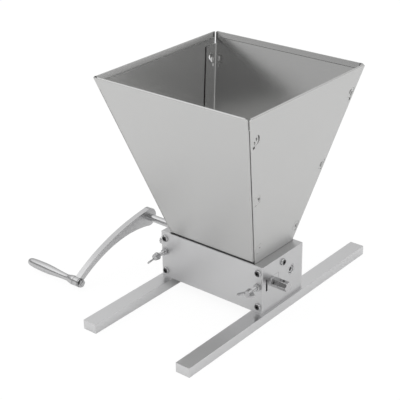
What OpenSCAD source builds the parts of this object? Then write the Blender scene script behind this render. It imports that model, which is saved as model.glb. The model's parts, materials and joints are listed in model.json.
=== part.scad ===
// Two roller malt mill with a hand crank.
// The rollers lie along X, the crank is at minus X, the wing bolts face minus Y and Z is up.
// All sizes are in millimetres. The origin is on the table, under the middle of the whole mill.

/* [Rollers] */
// Diameter of both rollers over the knurl
roller_dia = 37; // [30:0.5:42]
// Length of both rollers
roller_len = 130; // [110:1:150]
// Gap between the rollers as the mill is set
roll_gap = 1.2; // [1:0.1:2]
// Bevel on each end edge of a roller
roller_bevel = 1; // [0.5:0.1:1.5]
// Diameter of the rear shaft, which carries the crank
rear_shaft_dia = 10; // [8:0.5:11]
// Diameter of the front shaft
front_shaft_dia = 12; // [10:0.5:12.5]
// Thickness of the washer between a roller's end and its end plate
washer_t = 2; // [1.5:0.1:2.5]
// Outer diameter of that washer
washer_dia = 17; // [15:0.5:19]
// Free play between that washer and the end plate
end_play = 0.3; // [0.2:0.05:0.4]
// Length of the front shaft's plain end outside the left end plate
plain_end_len = 19.5; // [15:0.5:25]
// Length of the hexagon drive stub outside the right end plate
stub_len = 23; // [18:0.5:28]
// Size of the drive stub across its flats
stub_flats = 11; // [9:0.5:11]
// Depth of the rear shaft's right end inside its bush
shaft_end_recess = 1; // [0.5:0.1:2]
// Diameter of the centre hole in the rear shaft's right end
centre_hole_dia = 5; // [4:0.5:6]

/* [Roller box] */
// Thickness of each end plate
plate_t = 12.7; // [11:0.1:15]
// Thickness of the front and rear cover sheets
cover_t = 1.5; // [1:0.1:2]
// Free room between the front roller and the front cover
front_room = 2; // [1.9:0.1:3]
// Free room between the rear roller and the rear cover
rear_room = 3.8; // [3:0.1:6]
// Free room under the rollers down to the foot bars
under_room = 18.3; // [15:0.1:25]
// Free room over the rollers up to the top of the box
over_room = 9.2; // [8.5:0.1:12]
// Outer diameter of the rear shaft's bushes
bush_dia = 14; // [13:0.5:15]

/* [Gap adjustment] */
// Length of a bearing block from front to back
block_len = 22.4; // [20:0.1:24]
// Height of a bearing block
block_h = 15.8; // [15:0.1:18]
// Clearance over and under a bearing block in its window
block_clear = 0.1; // [0.05:0.01:0.15]
// Open gap in front of a bearing block
window_front_gap = 3.2; // [2.5:0.1:4]
// Open gap behind a bearing block
window_rear_gap = 0.3; // [0.25:0.05:0.5]
// Thread diameter of the wing bolts, screws and nuts
screw_dia = 5; // [4.5:0.1:5.5]
// Length of a wing bolt's shank from the bearing block to the hub
wing_shank_len = 26; // [24:0.5:30]
// Diameter of a wing bolt's hub at its base
wing_hub_dia = 10; // [8:0.5:12]
// Length of a wing bolt's hub
wing_hub_len = 7; // [6:0.5:9]
// Radius of a wing bolt over its wing tips
wing_reach = 13; // [11:0.5:15]
// Length from a wing bolt's hub base to its wing tips
wing_rise = 12.5; // [11:0.5:14]
// Thickness of a wing
wing_t = 2; // [1.5:0.1:2.5]
// Angle of the left wing bolt's wings as it is set
left_wing_angle = 49; // [0:1:180]
// Angle of the right wing bolt's wings as it is set
right_wing_angle = 14; // [0:1:180]

/* [Foot bars] */
// Length of each foot bar
foot_len = 368; // [300:1:420]
// Width of each foot bar
foot_w = 20; // [16:0.5:25]
// Height of each foot bar
foot_h = 12.5; // [11:0.5:16]

/* [Hopper] */
// Outer width of the square hopper rim
hopper_top = 228.6; // [210:0.1:250]
// Height of the sloping walls
hopper_rise = 217.8; // [190:0.1:240]
// Height of the hopper's bend line over the top of the box
hopper_lift = 1.5; // [1:0.1:3]
// Length of the side walls' skirts below the bend line
skirt_len = 15.5; // [14:0.1:17]
// Clearance between the skirt and the box
skirt_clear = 0.3; // [0.2:0.05:0.5]
// Thickness of the hopper sheet
sheet_t = 1; // [0.8:0.1:1.2]
// Height of the folded hem inside the rim
hem_h = 7; // [5:0.5:10]
// Open gap inside the fold of the hem
hem_gap = 0.4; // [0.2:0.1:0.6]
// Length by which a hem stops short of the next wall
hem_stop = 5; // [4.5:0.5:8]
// Open gap between a cover's top edge and the front or rear wall
wall_gap = 2.3; // [2:0.1:3.5]
// Sheet left beside the tongue cuts on the corner flanges of the front and rear walls
flange_margin = 3.7; // [2:0.1:5]
// Height of the open corner slit over a flange
corner_slit = 15; // [12:1:24]
// Width of the sheet cut away at the open corner slit, where the flange's bend would run out
slit_relief = 1; // [0.5:0.1:3]
// Length by which a side wall stops short of the corner
side_stop = 1.4; // [1:0.1:2]
// Clearance between a corner flange and its side wall
flange_clear = 0.1; // [0.05:0.01:0.15]
// Distance from the corner to a tongue
tongue_in = 4.6; // [4:0.1:6]
// Length of a tongue across the corner
tongue_len = 9.5; // [8:0.5:11]
// Height of a tongue along the corner
tongue_h = 12.5; // [11:0.5:14]
// Places of the tongues as shares of the wall's height
tongue_shares = [0.09, 0.45, 0.85];

/* [Crank] */
// Distance between the crank's shaft and the grip
crank_radius = 144; // [120:1:160]
// Height of the grip over the table while the crank rests
grip_lift = 3.2; // [0:0.1:20]
// Rise of the bowed arm over the straight line
crank_bow = 12; // [6:0.5:18]
// Distance from the left end plate to the arm
crank_out = 75; // [65:1:90]
// Thickness of the arm
arm_t = 8; // [7:0.5:10]
// Diameter of the arm's hub end
hub_dia = 25; // [22:0.5:30]
// Diameter of the arm's grip end
arm_tip_dia = 12; // [11:0.5:12.5]
// Width that the arm narrows to
arm_w = 8; // [7:0.5:10]
// Power of the curve along which the arm narrows
arm_taper_power = 3; // [2:0.5:4]
// Diameter of the stud that the grip turns with
stud_dia = 6; // [5:0.5:6]
// Overall length of the grip
grip_len = 87.5; // [75:0.5:100]
// Diameter of the grip at its thickest
grip_dia = 12.8; // [12.6:0.1:16]
// Diameter of the grip's neck
neck_dia = 8.6; // [8.2:0.1:10]
// Diameter of the collar at the grip's arm end
collar_dia = 12.4; // [11.5:0.1:12.6]
// Place of the grip's neck as a share of its length
neck_share = 0.16; // [0.14:0.01:0.2]
// Place of the grip's thickest part as a share of its length
belly_share = 0.64; // [0.5:0.01:0.7]
// Thickness that the grip loses from there to its blunt end, as a share
end_taper_share = 0.2; // [0:0.01:0.4]
// Free play between the grip and the arm
grip_play = 0.3; // [0.2:0.05:0.5]

/* [Hidden] */
// Fits
run_fit = 0.05;
thread_fit = 0.05;
pass_fit = 0.25;
over = 1;
smooth = 64;

// Screws and nuts
head_dia = 1.9 * screw_dia;
head_h = 0.55 * screw_dia;
socket_flats = 0.6 * screw_dia;
socket_depth = 0.6 * head_h;
nut_flats = 1.6 * screw_dia;
nut_h = 0.8 * screw_dia;
lock_washer_t = 0.2 * screw_dia;
lock_washer_dia = 2.1 * screw_dia;
cover_screw_len = 12;
screw_tip = 0.5;
hopper_screw_len = plate_t + skirt_clear + sheet_t + nut_h + screw_tip;
foot_screw_len = 25;
foot_screw_y = 22;
foot_head_dia = 2 * screw_dia;
cover_screw_inset = 9;
hopper_screw_drop = 9.5;
set_screw_len = 7;
grip_washer_t = 1.6;
grip_nut_h = 3.2;

// Places of the roller box, with its middle at x = 0 before the move to the part's frame
box_inner_len = roller_len + 2 * (washer_t + end_play);
box_len = box_inner_len + 2 * plate_t;
plate_x = box_inner_len / 2 + plate_t / 2;
plate_d = 2 * roller_dia + roll_gap + front_room + rear_room;
box_d = plate_d + 2 * cover_t;
box_h = under_room + roller_dia + over_room;
axis_z = foot_h + under_room + roller_dia / 2;
box_top_z = foot_h + box_h;
rear_axis_y = plate_d / 2 - rear_room - roller_dia / 2;
front_axis_y = rear_axis_y - roller_dia - roll_gap;

// Places of the bearing blocks and wing bolts
block_front_y = front_axis_y - block_len / 2;
window_h = block_h + 2 * block_clear;
window_len = window_front_gap + block_len + window_rear_gap;
window_front_y = block_front_y - window_front_gap;
wing_tip_r = 0.27 * wing_reach;
wing_hub_top_dia = 0.8 * wing_hub_dia;

// Places of the hopper
bend_z = box_top_z + hopper_lift;
reach_x = box_inner_len / 2 - skirt_clear;
reach_y = plate_d / 2 - skirt_clear;
tilt_x = atan2(hopper_top / 2 - reach_x, hopper_rise);
tilt_y = atan2(hopper_top / 2 - reach_y, hopper_rise);
slope_x = hopper_rise / cos(tilt_x);
slope_y = hopper_rise / cos(tilt_y);
corner_lean = atan(cos(tilt_x) * tan(tilt_y));
wall_foot = (wall_gap - hopper_lift) / cos(tilt_y);
hem_depth = 2 * sheet_t + hem_gap;
skirt_foot_z = bend_z - skirt_len;
hopper_screw_z = box_top_z - hopper_screw_drop;
flange_foot = 2 * sheet_t;
tongue_neck = 1.2 * sheet_t;
tongue_lift = 0.05 * sheet_t;
tongue_inset = tongue_in / cos(corner_lean);
flange_inset = (tongue_in + tongue_len + tongue_neck + flange_margin) / cos(corner_lean);
slot_w = 3 * tongue_neck;
slot_drop = 0.3 * tongue_h;
slot_side = 0.05 * tongue_h;

// Places of the crank, which rests with its grip just over the table
arm_in_x = -box_len / 2 - crank_out;
arm_out_x = arm_in_x - arm_t;
grip_x = arm_out_x - grip_play;
rest_angle = asin((axis_z - grip_lift - grip_dia / 2) / crank_radius);
bow_radius = crank_radius * crank_radius / (8 * crank_bow) + crank_bow / 2;
bow_angle = asin(crank_radius / 2 / bow_radius);
arm_steps = 24;

// Move from the box's middle to the middle of the whole mill
frame_x = -(grip_x - grip_len + hopper_top / 2) / 2;

// General helpers

// Moves a sub-part from the box's middle to the part's frame.
module in_frame() {
    translate([frame_x, 0, 0]) children();
}

// Turns a shape that is built along Z so that it lies along plus X.
module along_x() {
    rotate([0, 90, 0]) children();
}

// Turns a shape that is built along Z so that it points forwards, along minus Y.
module forwards() {
    rotate([90, 0, 0]) children();
}

// Round rod along X between two places.
module rod_x(x_low, x_high, dia) {
    translate([x_low, 0, 0]) along_x() cylinder(h = x_high - x_low, d = dia, $fn = smooth);
}

// Round ring along X between two places.
module ring_x(x_low, x_high, dia, bore) {
    difference() {
        rod_x(x_low, x_high, dia);
        rod_x(x_low - over, x_high + over, bore);
    }
}

// Hexagon prism along Z, given by its size across the flats.
module hexagon(flats, height) {
    cylinder(h = height, d = flats / cos(30), $fn = 6);
}

// Hexagon nut along Z, standing on its face.
module nut(flats, height, bore) {
    difference() {
        hexagon(flats, height);
        translate([0, 0, -over]) cylinder(h = height + 2 * over, d = bore, $fn = smooth);
    }
}

// Button head screw: the shank runs up along Z from zero, and the head lies below zero.
module button_screw(length) {
    cylinder(h = length, d = screw_dia, $fn = smooth);
    difference() {
        mirror([0, 0, 1]) rotate_extrude($fn = smooth) polygon([
            [0, 0],
            [head_dia / 2, 0],
            [head_dia / 2, head_h * 0.3],
            [head_dia * 0.46, head_h * 0.6],
            [head_dia * 0.36, head_h * 0.88],
            [head_dia * 0.24, head_h],
            [0, head_h]
        ]);
        translate([0, 0, -head_h - over]) hexagon(socket_flats, socket_depth + over);
    }
}

// End plates

// Holes of an end plate's fasteners, drilled in from the plate's middle plane.
module plate_holes(side) {
    hole = screw_dia + 2 * thread_fit;
    for (face = [-1, 1], z = [foot_h + cover_screw_inset, box_top_z - cover_screw_inset])
        translate([side * plate_x, face * (plate_d / 2 + over), z])
            rotate([face * 90, 0, 0])
                cylinder(h = cover_screw_len + over, d = hole, $fn = smooth);
    for (y = [-foot_screw_y, foot_screw_y])
        translate([side * plate_x, y, foot_h - over])
            cylinder(h = foot_screw_len - foot_h + 2 * over, d = hole, $fn = smooth);
    translate([side * plate_x, window_front_y + over, axis_z])
        forwards() cylinder(h = plate_d / 2 + window_front_y + 2 * over, d = hole, $fn = smooth);
    translate([side * plate_x - plate_t / 2 - over, 0, hopper_screw_z])
        along_x() cylinder(h = plate_t + 2 * over, d = hole, $fn = smooth);
}

module end_plate(side) {
    low_x = side * plate_x - plate_t / 2;
    color([0.80, 0.80, 0.81]) in_frame() difference() {
        translate([low_x, -plate_d / 2, foot_h]) cube([plate_t, plate_d, box_h]);
        translate([0, rear_axis_y, axis_z]) rod_x(low_x - over, low_x + plate_t + over, bush_dia);
        translate([low_x - over, window_front_y, axis_z - window_h / 2])
            cube([plate_t + 2 * over, window_len, window_h]);
        plate_holes(side);
    }
}

module left_end_plate() {
    end_plate(-1);
}

module right_end_plate() {
    end_plate(1);
}

// Covers and their screws

module cover(face) {
    y_low = face > 0 ? plate_d / 2 : -plate_d / 2 - cover_t;
    color([0.78, 0.78, 0.79]) in_frame() difference() {
        translate([-box_len / 2, y_low, foot_h]) cube([box_len, cover_t, box_h]);
        for (side = [-1, 1], z = [foot_h + cover_screw_inset, box_top_z - cover_screw_inset])
            cover_hole(side, y_low, z);
        if (face < 0)
            for (side = [-1, 1])
                cover_hole(side, y_low, axis_z);
    }
}

module cover_hole(side, y_low, z) {
    translate([side * plate_x, y_low + cover_t + over, z])
        forwards() cylinder(h = cover_t + 2 * over, d = screw_dia + 2 * pass_fit, $fn = smooth);
}

module front_cover() {
    cover(-1);
}

module rear_cover() {
    cover(1);
}

// Four screws in one cover, with their heads on its outer face.
module cover_screws(face) {
    color([0.55, 0.55, 0.56]) in_frame()
        for (side = [-1, 1], z = [foot_h + cover_screw_inset, box_top_z - cover_screw_inset])
            translate([side * plate_x, face * box_d / 2, z])
                rotate([face * 90, 0, 0]) button_screw(cover_screw_len);
}

module front_cover_screws() {
    cover_screws(-1);
}

module rear_cover_screws() {
    cover_screws(1);
}

// Foot bars and their screws

module foot_head(extra) {
    cylinder(h = (foot_head_dia - screw_dia) / 2, d1 = foot_head_dia + extra, d2 = screw_dia + extra, $fn = smooth);
}

module foot_bar(side) {
    color([0.80, 0.80, 0.81]) in_frame() difference() {
        translate([side * plate_x - foot_w / 2, -foot_len / 2, 0]) cube([foot_w, foot_len, foot_h]);
        for (y = [-foot_screw_y, foot_screw_y])
            translate([side * plate_x, y, 0]) {
                foot_head(2 * thread_fit);
                translate([0, 0, -over])
                    cylinder(h = foot_h + 2 * over, d = screw_dia + 2 * thread_fit, $fn = smooth);
                translate([0, 0, -over])
                    cylinder(h = over, d = foot_head_dia + 2 * thread_fit, $fn = smooth);
            }
    }
}

module left_foot_bar() {
    foot_bar(-1);
}

module right_foot_bar() {
    foot_bar(1);
}

module foot_screws() {
    color([0.55, 0.55, 0.56]) in_frame()
        for (side = [-1, 1], y = [-foot_screw_y, foot_screw_y])
            translate([side * plate_x, y, 0]) difference() {
                union() {
                    foot_head(0);
                    cylinder(h = foot_screw_len, d = screw_dia, $fn = smooth);
                }
                translate([0, 0, -over]) hexagon(socket_flats, socket_depth + over);
            }
}

// Hopper

// Puts a flat drawing on the outer face of one sloping wall. The drawing's X runs along the
// wall, its Y runs up the slope from the bend line and its Z points outwards.
module on_wall(turn, reach, tilt) {
    rotate([0, 0, turn]) translate([0, -reach, bend_z]) rotate([90 + tilt, 0, 0]) children();
}

// Sheet with its outer face at a depth under the wall's outer face.
module sheet(depth) {
    translate([0, 0, -depth - sheet_t]) linear_extrude(height = sheet_t) children();
}

// Trapezium between two heights up the slope, with its half widths from a function's two ends.
module trapezium(low, high, half_low, half_high) {
    polygon([[-half_low, low], [half_low, low], [half_high, high], [-half_high, high]]);
}

// Half width of the front and rear walls at a height up their slope.
function front_half(v) = reach_x + v * cos(tilt_y) * tan(tilt_x) - (sheet_t + flange_clear) / cos(tilt_x);

// Half width to the corner, seen on the left and right walls at a height up their slope.
function side_half(v) = reach_y + v * cos(tilt_x) * tan(tilt_y);

// Hem, folded inwards and down along the rim.
module hem(slope, half_low, half_high) {
    sheet(sheet_t + hem_gap) trapezium(slope - hem_h, slope, half_low, half_high);
    translate([0, 0, -hem_depth]) linear_extrude(height = hem_depth)
        trapezium(slope - sheet_t, slope, half_high, half_high);
}

// Outline of one tongue, seen on its side wall from the neck inwards.
module tongue_outline() {
    intersection() {
        translate([0, -tongue_h / 2]) square([tongue_len, tongue_h]);
        translate([tongue_len - tongue_h / 2, 0]) circle(r = tongue_h / 2 + tongue_neck, $fn = smooth);
    }
}

// Runs its children at each tongue's place along the corner, on one end of a side wall.
module at_tongues(end) {
    for (share = tongue_shares) {
        v = share * slope_x;
        translate([end * (side_half(v) - tongue_inset), v, 0])
            rotate([0, 0, -end * corner_lean]) mirror([end > 0 ? 1 : 0, 0, 0]) children();
    }
}

// Flange of a front or rear wall, which lies inside one end of a side wall, with its tongues.
module corner_flange(end) {
    low = flange_foot;
    high = slope_x - corner_slit;
    difference() {
        sheet(sheet_t + flange_clear) polygon([
            [end * (side_half(low) - flange_clear), low],
            [end * (side_half(high) - flange_clear), high],
            [end * (side_half(high) - flange_inset), high],
            [end * (side_half(low) - flange_inset), low]
        ]);
        at_tongues(end) translate([0, 0, -hem_depth]) linear_extrude(height = hem_depth) {
            translate([tongue_neck, 0]) tongue_outline();
            translate([-tongue_neck / 2, -tongue_h / 2 - slot_drop]) square([slot_w, slot_drop]);
        }
    }
    at_tongues(end) {
        sheet(-sheet_t - tongue_lift) tongue_outline();
        translate([0, -tongue_h / 2, -2 * sheet_t - flange_clear])
            cube([tongue_neck, tongue_h, 3 * sheet_t + flange_clear + tongue_lift]);
    }
}

// Open slits at both upper corners of a front or rear wall, over its flanges.
module corner_slits() {
    foot = (slope_x - corner_slit) * cos(tilt_x) / cos(tilt_y);
    for (end = [-1, 1])
        polygon([
            [end * (front_half(foot) - slit_relief), foot],
            [end * (front_half(slope_y + over) - slit_relief), slope_y + over],
            [end * (front_half(slope_y + over) + slit_relief), slope_y + over],
            [end * (front_half(foot) + slit_relief), foot]
        ]);
}

// Front or rear wall with its hem and two corner flanges. It ends just over its cover's top edge.
module end_wall(turn) {
    hem_low = front_half(slope_y - hem_h) - hem_stop;
    hem_high = front_half(slope_y) - hem_stop;
    color([0.74, 0.74, 0.75]) in_frame() union() {
        on_wall(turn, reach_y, tilt_y) {
            sheet(0) difference() {
                trapezium(wall_foot, slope_y, front_half(wall_foot), front_half(slope_y));
                corner_slits();
            }
            hem(slope_y, hem_low, hem_high);
        }
        on_wall(turn + 90, reach_x, tilt_x) corner_flange(-1);
        on_wall(turn - 90, reach_x, tilt_x) corner_flange(1);
    }
}

// Left or right wall with its hem, skirt, tongue slots and fixing hole.
module side_wall(turn) {
    hem_low = side_half(slope_x - hem_h) - hem_stop;
    hem_high = side_half(slope_x) - hem_stop;
    skirt_half = reach_y - sheet_t - skirt_clear;
    color([0.76, 0.76, 0.77]) in_frame() difference() {
        union() {
            on_wall(turn, reach_x, tilt_x) {
                sheet(0) trapezium(0, slope_x, side_half(0) - side_stop, side_half(slope_x) - side_stop);
                hem(slope_x, hem_low, hem_high);
            }
            rotate([0, 0, turn]) translate([-skirt_half, -reach_x, skirt_foot_z])
                cube([2 * skirt_half, sheet_t, skirt_len + sheet_t / 2]);
        }
        on_wall(turn, reach_x, tilt_x)
            for (end = [-1, 1])
                at_tongues(end)
                    translate([-tongue_neck / 2, -tongue_h / 2 - slot_drop, -sheet_t - over])
                        cube([slot_w, tongue_h + slot_drop + slot_side, sheet_t + 2 * over]);
        rotate([0, 0, turn]) translate([0, -reach_x + sheet_t + over, hopper_screw_z])
            forwards() cylinder(h = sheet_t + 2 * over, d = screw_dia + 2 * pass_fit, $fn = smooth);
    }
}

module hopper_front_wall() {
    end_wall(0);
}

module hopper_rear_wall() {
    end_wall(180);
}

module hopper_left_wall() {
    side_wall(-90);
}

module hopper_right_wall() {
    side_wall(90);
}

module hopper_screws() {
    color([0.55, 0.55, 0.56]) in_frame()
        for (side = [-1, 1])
            translate([side * box_len / 2, 0, hopper_screw_z])
                rotate([0, -side * 90, 0]) button_screw(hopper_screw_len);
}

module hopper_nuts() {
    color([0.55, 0.55, 0.56]) in_frame()
        for (side = [-1, 1])
            translate([side * (reach_x - sheet_t), 0, hopper_screw_z])
                rotate([0, -side * 90, 0]) nut(nut_flats, nut_h, screw_dia + 2 * thread_fit);
}

// Bushes of the rear shaft

module bush(side) {
    low_x = side * plate_x - plate_t / 2;
    color([0.66, 0.66, 0.66]) in_frame() translate([0, rear_axis_y, axis_z])
        ring_x(low_x, low_x + plate_t, bush_dia, rear_shaft_dia + 2 * run_fit);
}

module left_bush() {
    bush(-1);
}

module right_bush() {
    bush(1);
}

// Front carriage: bearing blocks, wing bolts and lock nuts

module lock_nuts() {
    color([0.48, 0.48, 0.49]) in_frame()
        for (side = [-1, 1])
            translate([side * plate_x, -box_d / 2 - lock_washer_t, axis_z])
                forwards() nut(nut_flats, nut_h, screw_dia + 2 * thread_fit);
}

module lock_washers() {
    color([0.60, 0.60, 0.61]) in_frame()
        for (side = [-1, 1])
            translate([side * plate_x, -box_d / 2, axis_z]) forwards() difference() {
                cylinder(h = lock_washer_t, d = lock_washer_dia, $fn = smooth);
                translate([0, 0, -over])
                    cylinder(h = lock_washer_t + 2 * over, d = screw_dia + 2 * pass_fit, $fn = smooth);
            }
}

module bearing_block(side) {
    low_x = side * plate_x - plate_t / 2;
    color([0.70, 0.70, 0.71]) in_frame() difference() {
        translate([low_x, block_front_y, axis_z - block_h / 2]) cube([plate_t, block_len, block_h]);
        translate([0, front_axis_y, axis_z])
            rod_x(low_x - over, low_x + plate_t + over, front_shaft_dia + 2 * run_fit);
    }
}

module left_bearing_block() {
    bearing_block(-1);
}

module right_bearing_block() {
    bearing_block(1);
}

// One wing of a wing bolt, drawn in the plane of the bolt's axis.
module wing_outline() {
    tip_x = wing_reach - wing_tip_r;
    tip_y = wing_rise - wing_tip_r;
    polygon([
        [0, 0],
        [wing_hub_dia / 2, 0],
        [tip_x + wing_tip_r * 0.8, tip_y - wing_tip_r * 0.6],
        [tip_x - wing_tip_r * 0.8, tip_y + wing_tip_r * 0.6],
        [wing_hub_top_dia / 2, wing_hub_len],
        [0, wing_hub_len]
    ]);
    translate([tip_x, tip_y]) circle(r = wing_tip_r, $fn = smooth);
}

// Wing bolt whose tip bears on the front of its bearing block.
module wing_bolt(side, angle) {
    color([0.50, 0.50, 0.51]) in_frame() translate([side * plate_x, block_front_y, axis_z])
        forwards() rotate([0, 0, angle]) {
            cylinder(h = wing_shank_len + over, d = screw_dia, $fn = smooth);
            translate([0, 0, wing_shank_len]) {
                cylinder(h = wing_hub_len, d1 = wing_hub_dia, d2 = wing_hub_top_dia, $fn = smooth);
                for (half = [0, 180])
                    rotate([90, 0, half]) translate([0, 0, -wing_t / 2])
                        linear_extrude(height = wing_t) wing_outline();
            }
        }
}

module left_wing_bolt() {
    wing_bolt(-1, left_wing_angle);
}

module right_wing_bolt() {
    wing_bolt(1, right_wing_angle);
}

// Rollers, shafts and washers

module roller(y, bore) {
    half = roller_len / 2;
    color([0.62, 0.62, 0.63]) in_frame() translate([0, y, axis_z]) along_x()
        rotate_extrude($fn = smooth) polygon([
            [bore / 2, -half],
            [roller_dia / 2 - roller_bevel, -half],
            [roller_dia / 2, -half + roller_bevel],
            [roller_dia / 2, half - roller_bevel],
            [roller_dia / 2 - roller_bevel, half],
            [bore / 2, half]
        ]);
}

module washers(y, bore) {
    color([0.72, 0.72, 0.72]) in_frame() translate([0, y, axis_z])
        for (low_x = [-roller_len / 2 - washer_t, roller_len / 2])
            ring_x(low_x, low_x + washer_t, washer_dia, bore);
}

module front_roller() {
    roller(front_axis_y, front_shaft_dia);
}

module rear_roller() {
    roller(rear_axis_y, rear_shaft_dia);
}

module front_washers() {
    washers(front_axis_y, front_shaft_dia);
}

module rear_washers() {
    washers(rear_axis_y, rear_shaft_dia);
}

// Front shaft with a plain left end and a hexagon drive stub on its right end.
module front_shaft() {
    stub_x = box_len / 2;
    bevel = stub_flats * 0.1;
    color([0.60, 0.60, 0.61]) in_frame() translate([0, front_axis_y, axis_z]) {
        rod_x(-box_len / 2 - plain_end_len, stub_x + over, front_shaft_dia);
        translate([stub_x, 0, 0]) intersection() {
            translate([end_play, 0, 0]) along_x() rotate([0, 0, 30])
                hexagon(stub_flats, stub_len - end_play);
            union() {
                rod_x(0, stub_len - bevel, 2 * stub_flats);
                translate([stub_len - bevel, 0, 0]) along_x()
                    cylinder(h = bevel, d1 = stub_flats + 2 * bevel, d2 = stub_flats, $fn = smooth);
            }
        }
    }
}

// Rear shaft, which reaches out to the crank on the left.
module rear_shaft() {
    right_x = box_len / 2 - shaft_end_recess;
    color([0.70, 0.70, 0.71]) in_frame() translate([0, rear_axis_y, axis_z]) difference() {
        rod_x(arm_out_x, right_x, rear_shaft_dia);
        rod_x(right_x - centre_hole_dia, right_x + over, centre_hole_dia);
    }
}

// Crank

// Point on the arm's bowed middle line, from the shaft at share 0 to the grip at share 1.
function bow_turn(share) = bow_angle * (1 - 2 * share);
function bow_point(share) = [
    -crank_radius / 2 + bow_radius * sin(bow_turn(share)),
    crank_bow - bow_radius + bow_radius * cos(bow_turn(share))
];
function arm_half(share) = (arm_w + (hub_dia - arm_w) * pow(1 - share, arm_taper_power)) / 2;
function arm_edge(share, edge) = bow_point(share)
    + edge * arm_half(share) * [sin(bow_turn(share)), cos(bow_turn(share))];

// Turns a drawing of the crank, with its straight line along minus X, to its place at rest.
module in_crank() {
    in_frame() translate([0, rear_axis_y, axis_z]) rotate([rest_angle, 0, 0]) children();
}

module arm_outline() {
    polygon(concat(
        [for (i = [0:arm_steps]) arm_edge(i / arm_steps, 1)],
        [for (i = [arm_steps:-1:0]) arm_edge(i / arm_steps, -1)]
    ));
    circle(d = hub_dia, $fn = smooth);
    translate([-crank_radius, 0]) circle(d = arm_tip_dia, $fn = smooth);
}

module crank_arm() {
    color([0.78, 0.78, 0.79]) in_crank() difference() {
        translate([arm_out_x, 0, 0]) rotate([90, 0, 90]) linear_extrude(height = arm_t) arm_outline();
        rod_x(arm_out_x - over, arm_in_x + over, rear_shaft_dia);
        translate([0, -crank_radius, 0])
            rod_x(arm_out_x - over, arm_in_x + over, stud_dia + 2 * run_fit);
        translate([arm_out_x + arm_t / 2, 0, 0])
            rotate([-90, 0, 0]) cylinder(h = hub_dia, d = screw_dia, $fn = smooth);
    }
}

module hub_set_screw() {
    color([0.40, 0.40, 0.41]) in_crank()
        translate([arm_out_x + arm_t / 2, rear_shaft_dia / 2, 0]) rotate([-90, 0, 0]) difference() {
            cylinder(h = set_screw_len, d = screw_dia, $fn = smooth);
            translate([0, 0, set_screw_len - socket_depth]) hexagon(socket_flats, socket_depth + over);
        }
}

// Places a piece that turns with the grip, along minus X from the arm.
module in_grip() {
    in_crank() translate([0, -crank_radius, 0]) children();
}

// Radius of the grip at a share of its length, between the neck and the blunt end.
blunt_power = 12;
function swell(share) = (1 - cos(180 * (share - neck_share) / (belly_share - neck_share))) / 2;
function tail(share) = (share - belly_share) / (1 - belly_share);
function grip_half(share) = share < belly_share
    ? neck_dia / 2 + (grip_dia - neck_dia) / 2 * swell(share)
    : grip_dia / 2 * (1 - end_taper_share * pow(tail(share), 2)) * sqrt(1 - pow(tail(share), blunt_power));

// The steps along the grip grow shorter towards its blunt end.
module grip() {
    steps = 20;
    step_power = 1.6;
    collar = grip_len * neck_share * 0.3;
    color([0.79, 0.79, 0.80]) in_grip() translate([grip_x, 0, 0]) rotate([0, -90, 0]) difference() {
        rotate_extrude($fn = smooth) polygon(concat(
            [[0, 0], [collar_dia / 2, 0], [collar_dia / 2, collar]],
            [for (i = [0:steps - 1])
                let (share = 1 - (1 - neck_share) * pow(1 - i / steps, step_power))
                [grip_half(share), share * grip_len]],
            [[0, grip_len]]
        ));
        translate([0, 0, -over])
            cylinder(h = grip_len * belly_share + over, d = stud_dia, $fn = smooth);
    }
}

module grip_stud() {
    color([0.55, 0.55, 0.56]) in_grip()
        rod_x(grip_x - grip_len * belly_share, arm_in_x + grip_play + grip_washer_t + grip_nut_h + over, stud_dia);
}

module grip_washer() {
    low_x = arm_in_x + grip_play;
    color([0.45, 0.45, 0.46]) in_grip() ring_x(low_x, low_x + grip_washer_t, 2 * stud_dia, stud_dia);
}

module grip_nut() {
    color([0.50, 0.50, 0.51]) in_grip() translate([arm_in_x + grip_play + grip_washer_t, 0, 0])
        along_x() nut(nut_flats * stud_dia / screw_dia, grip_nut_h, stud_dia);
}

left_end_plate();
right_end_plate();
front_cover();
rear_cover();
front_cover_screws();
rear_cover_screws();
left_foot_bar();
right_foot_bar();
foot_screws();
hopper_front_wall();
hopper_rear_wall();
hopper_left_wall();
hopper_right_wall();
hopper_screws();
hopper_nuts();
left_bush();
right_bush();
lock_nuts();
lock_washers();
left_bearing_block();
right_bearing_block();
front_roller();
front_shaft();
front_washers();
rear_roller();
rear_shaft();
rear_washers();
crank_arm();
hub_set_screw();
grip();
grip_stud();
grip_washer();
grip_nut();
left_wing_bolt();
right_wing_bolt();
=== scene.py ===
"""Visual model of a two roller malt mill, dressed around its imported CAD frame.

Lengths are millimetres measured from the middle of the roller box, with X along the rollers and Z
up from the table. A piece is turned into metres and moved to the part's frame when it is placed.
"""
from __future__ import annotations

import json
import logging
import math
from collections.abc import Iterator, Sequence
from contextlib import contextmanager
from dataclasses import dataclass
from enum import Enum

import bmesh
import bpy
from mathutils import Matrix, Vector

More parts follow.
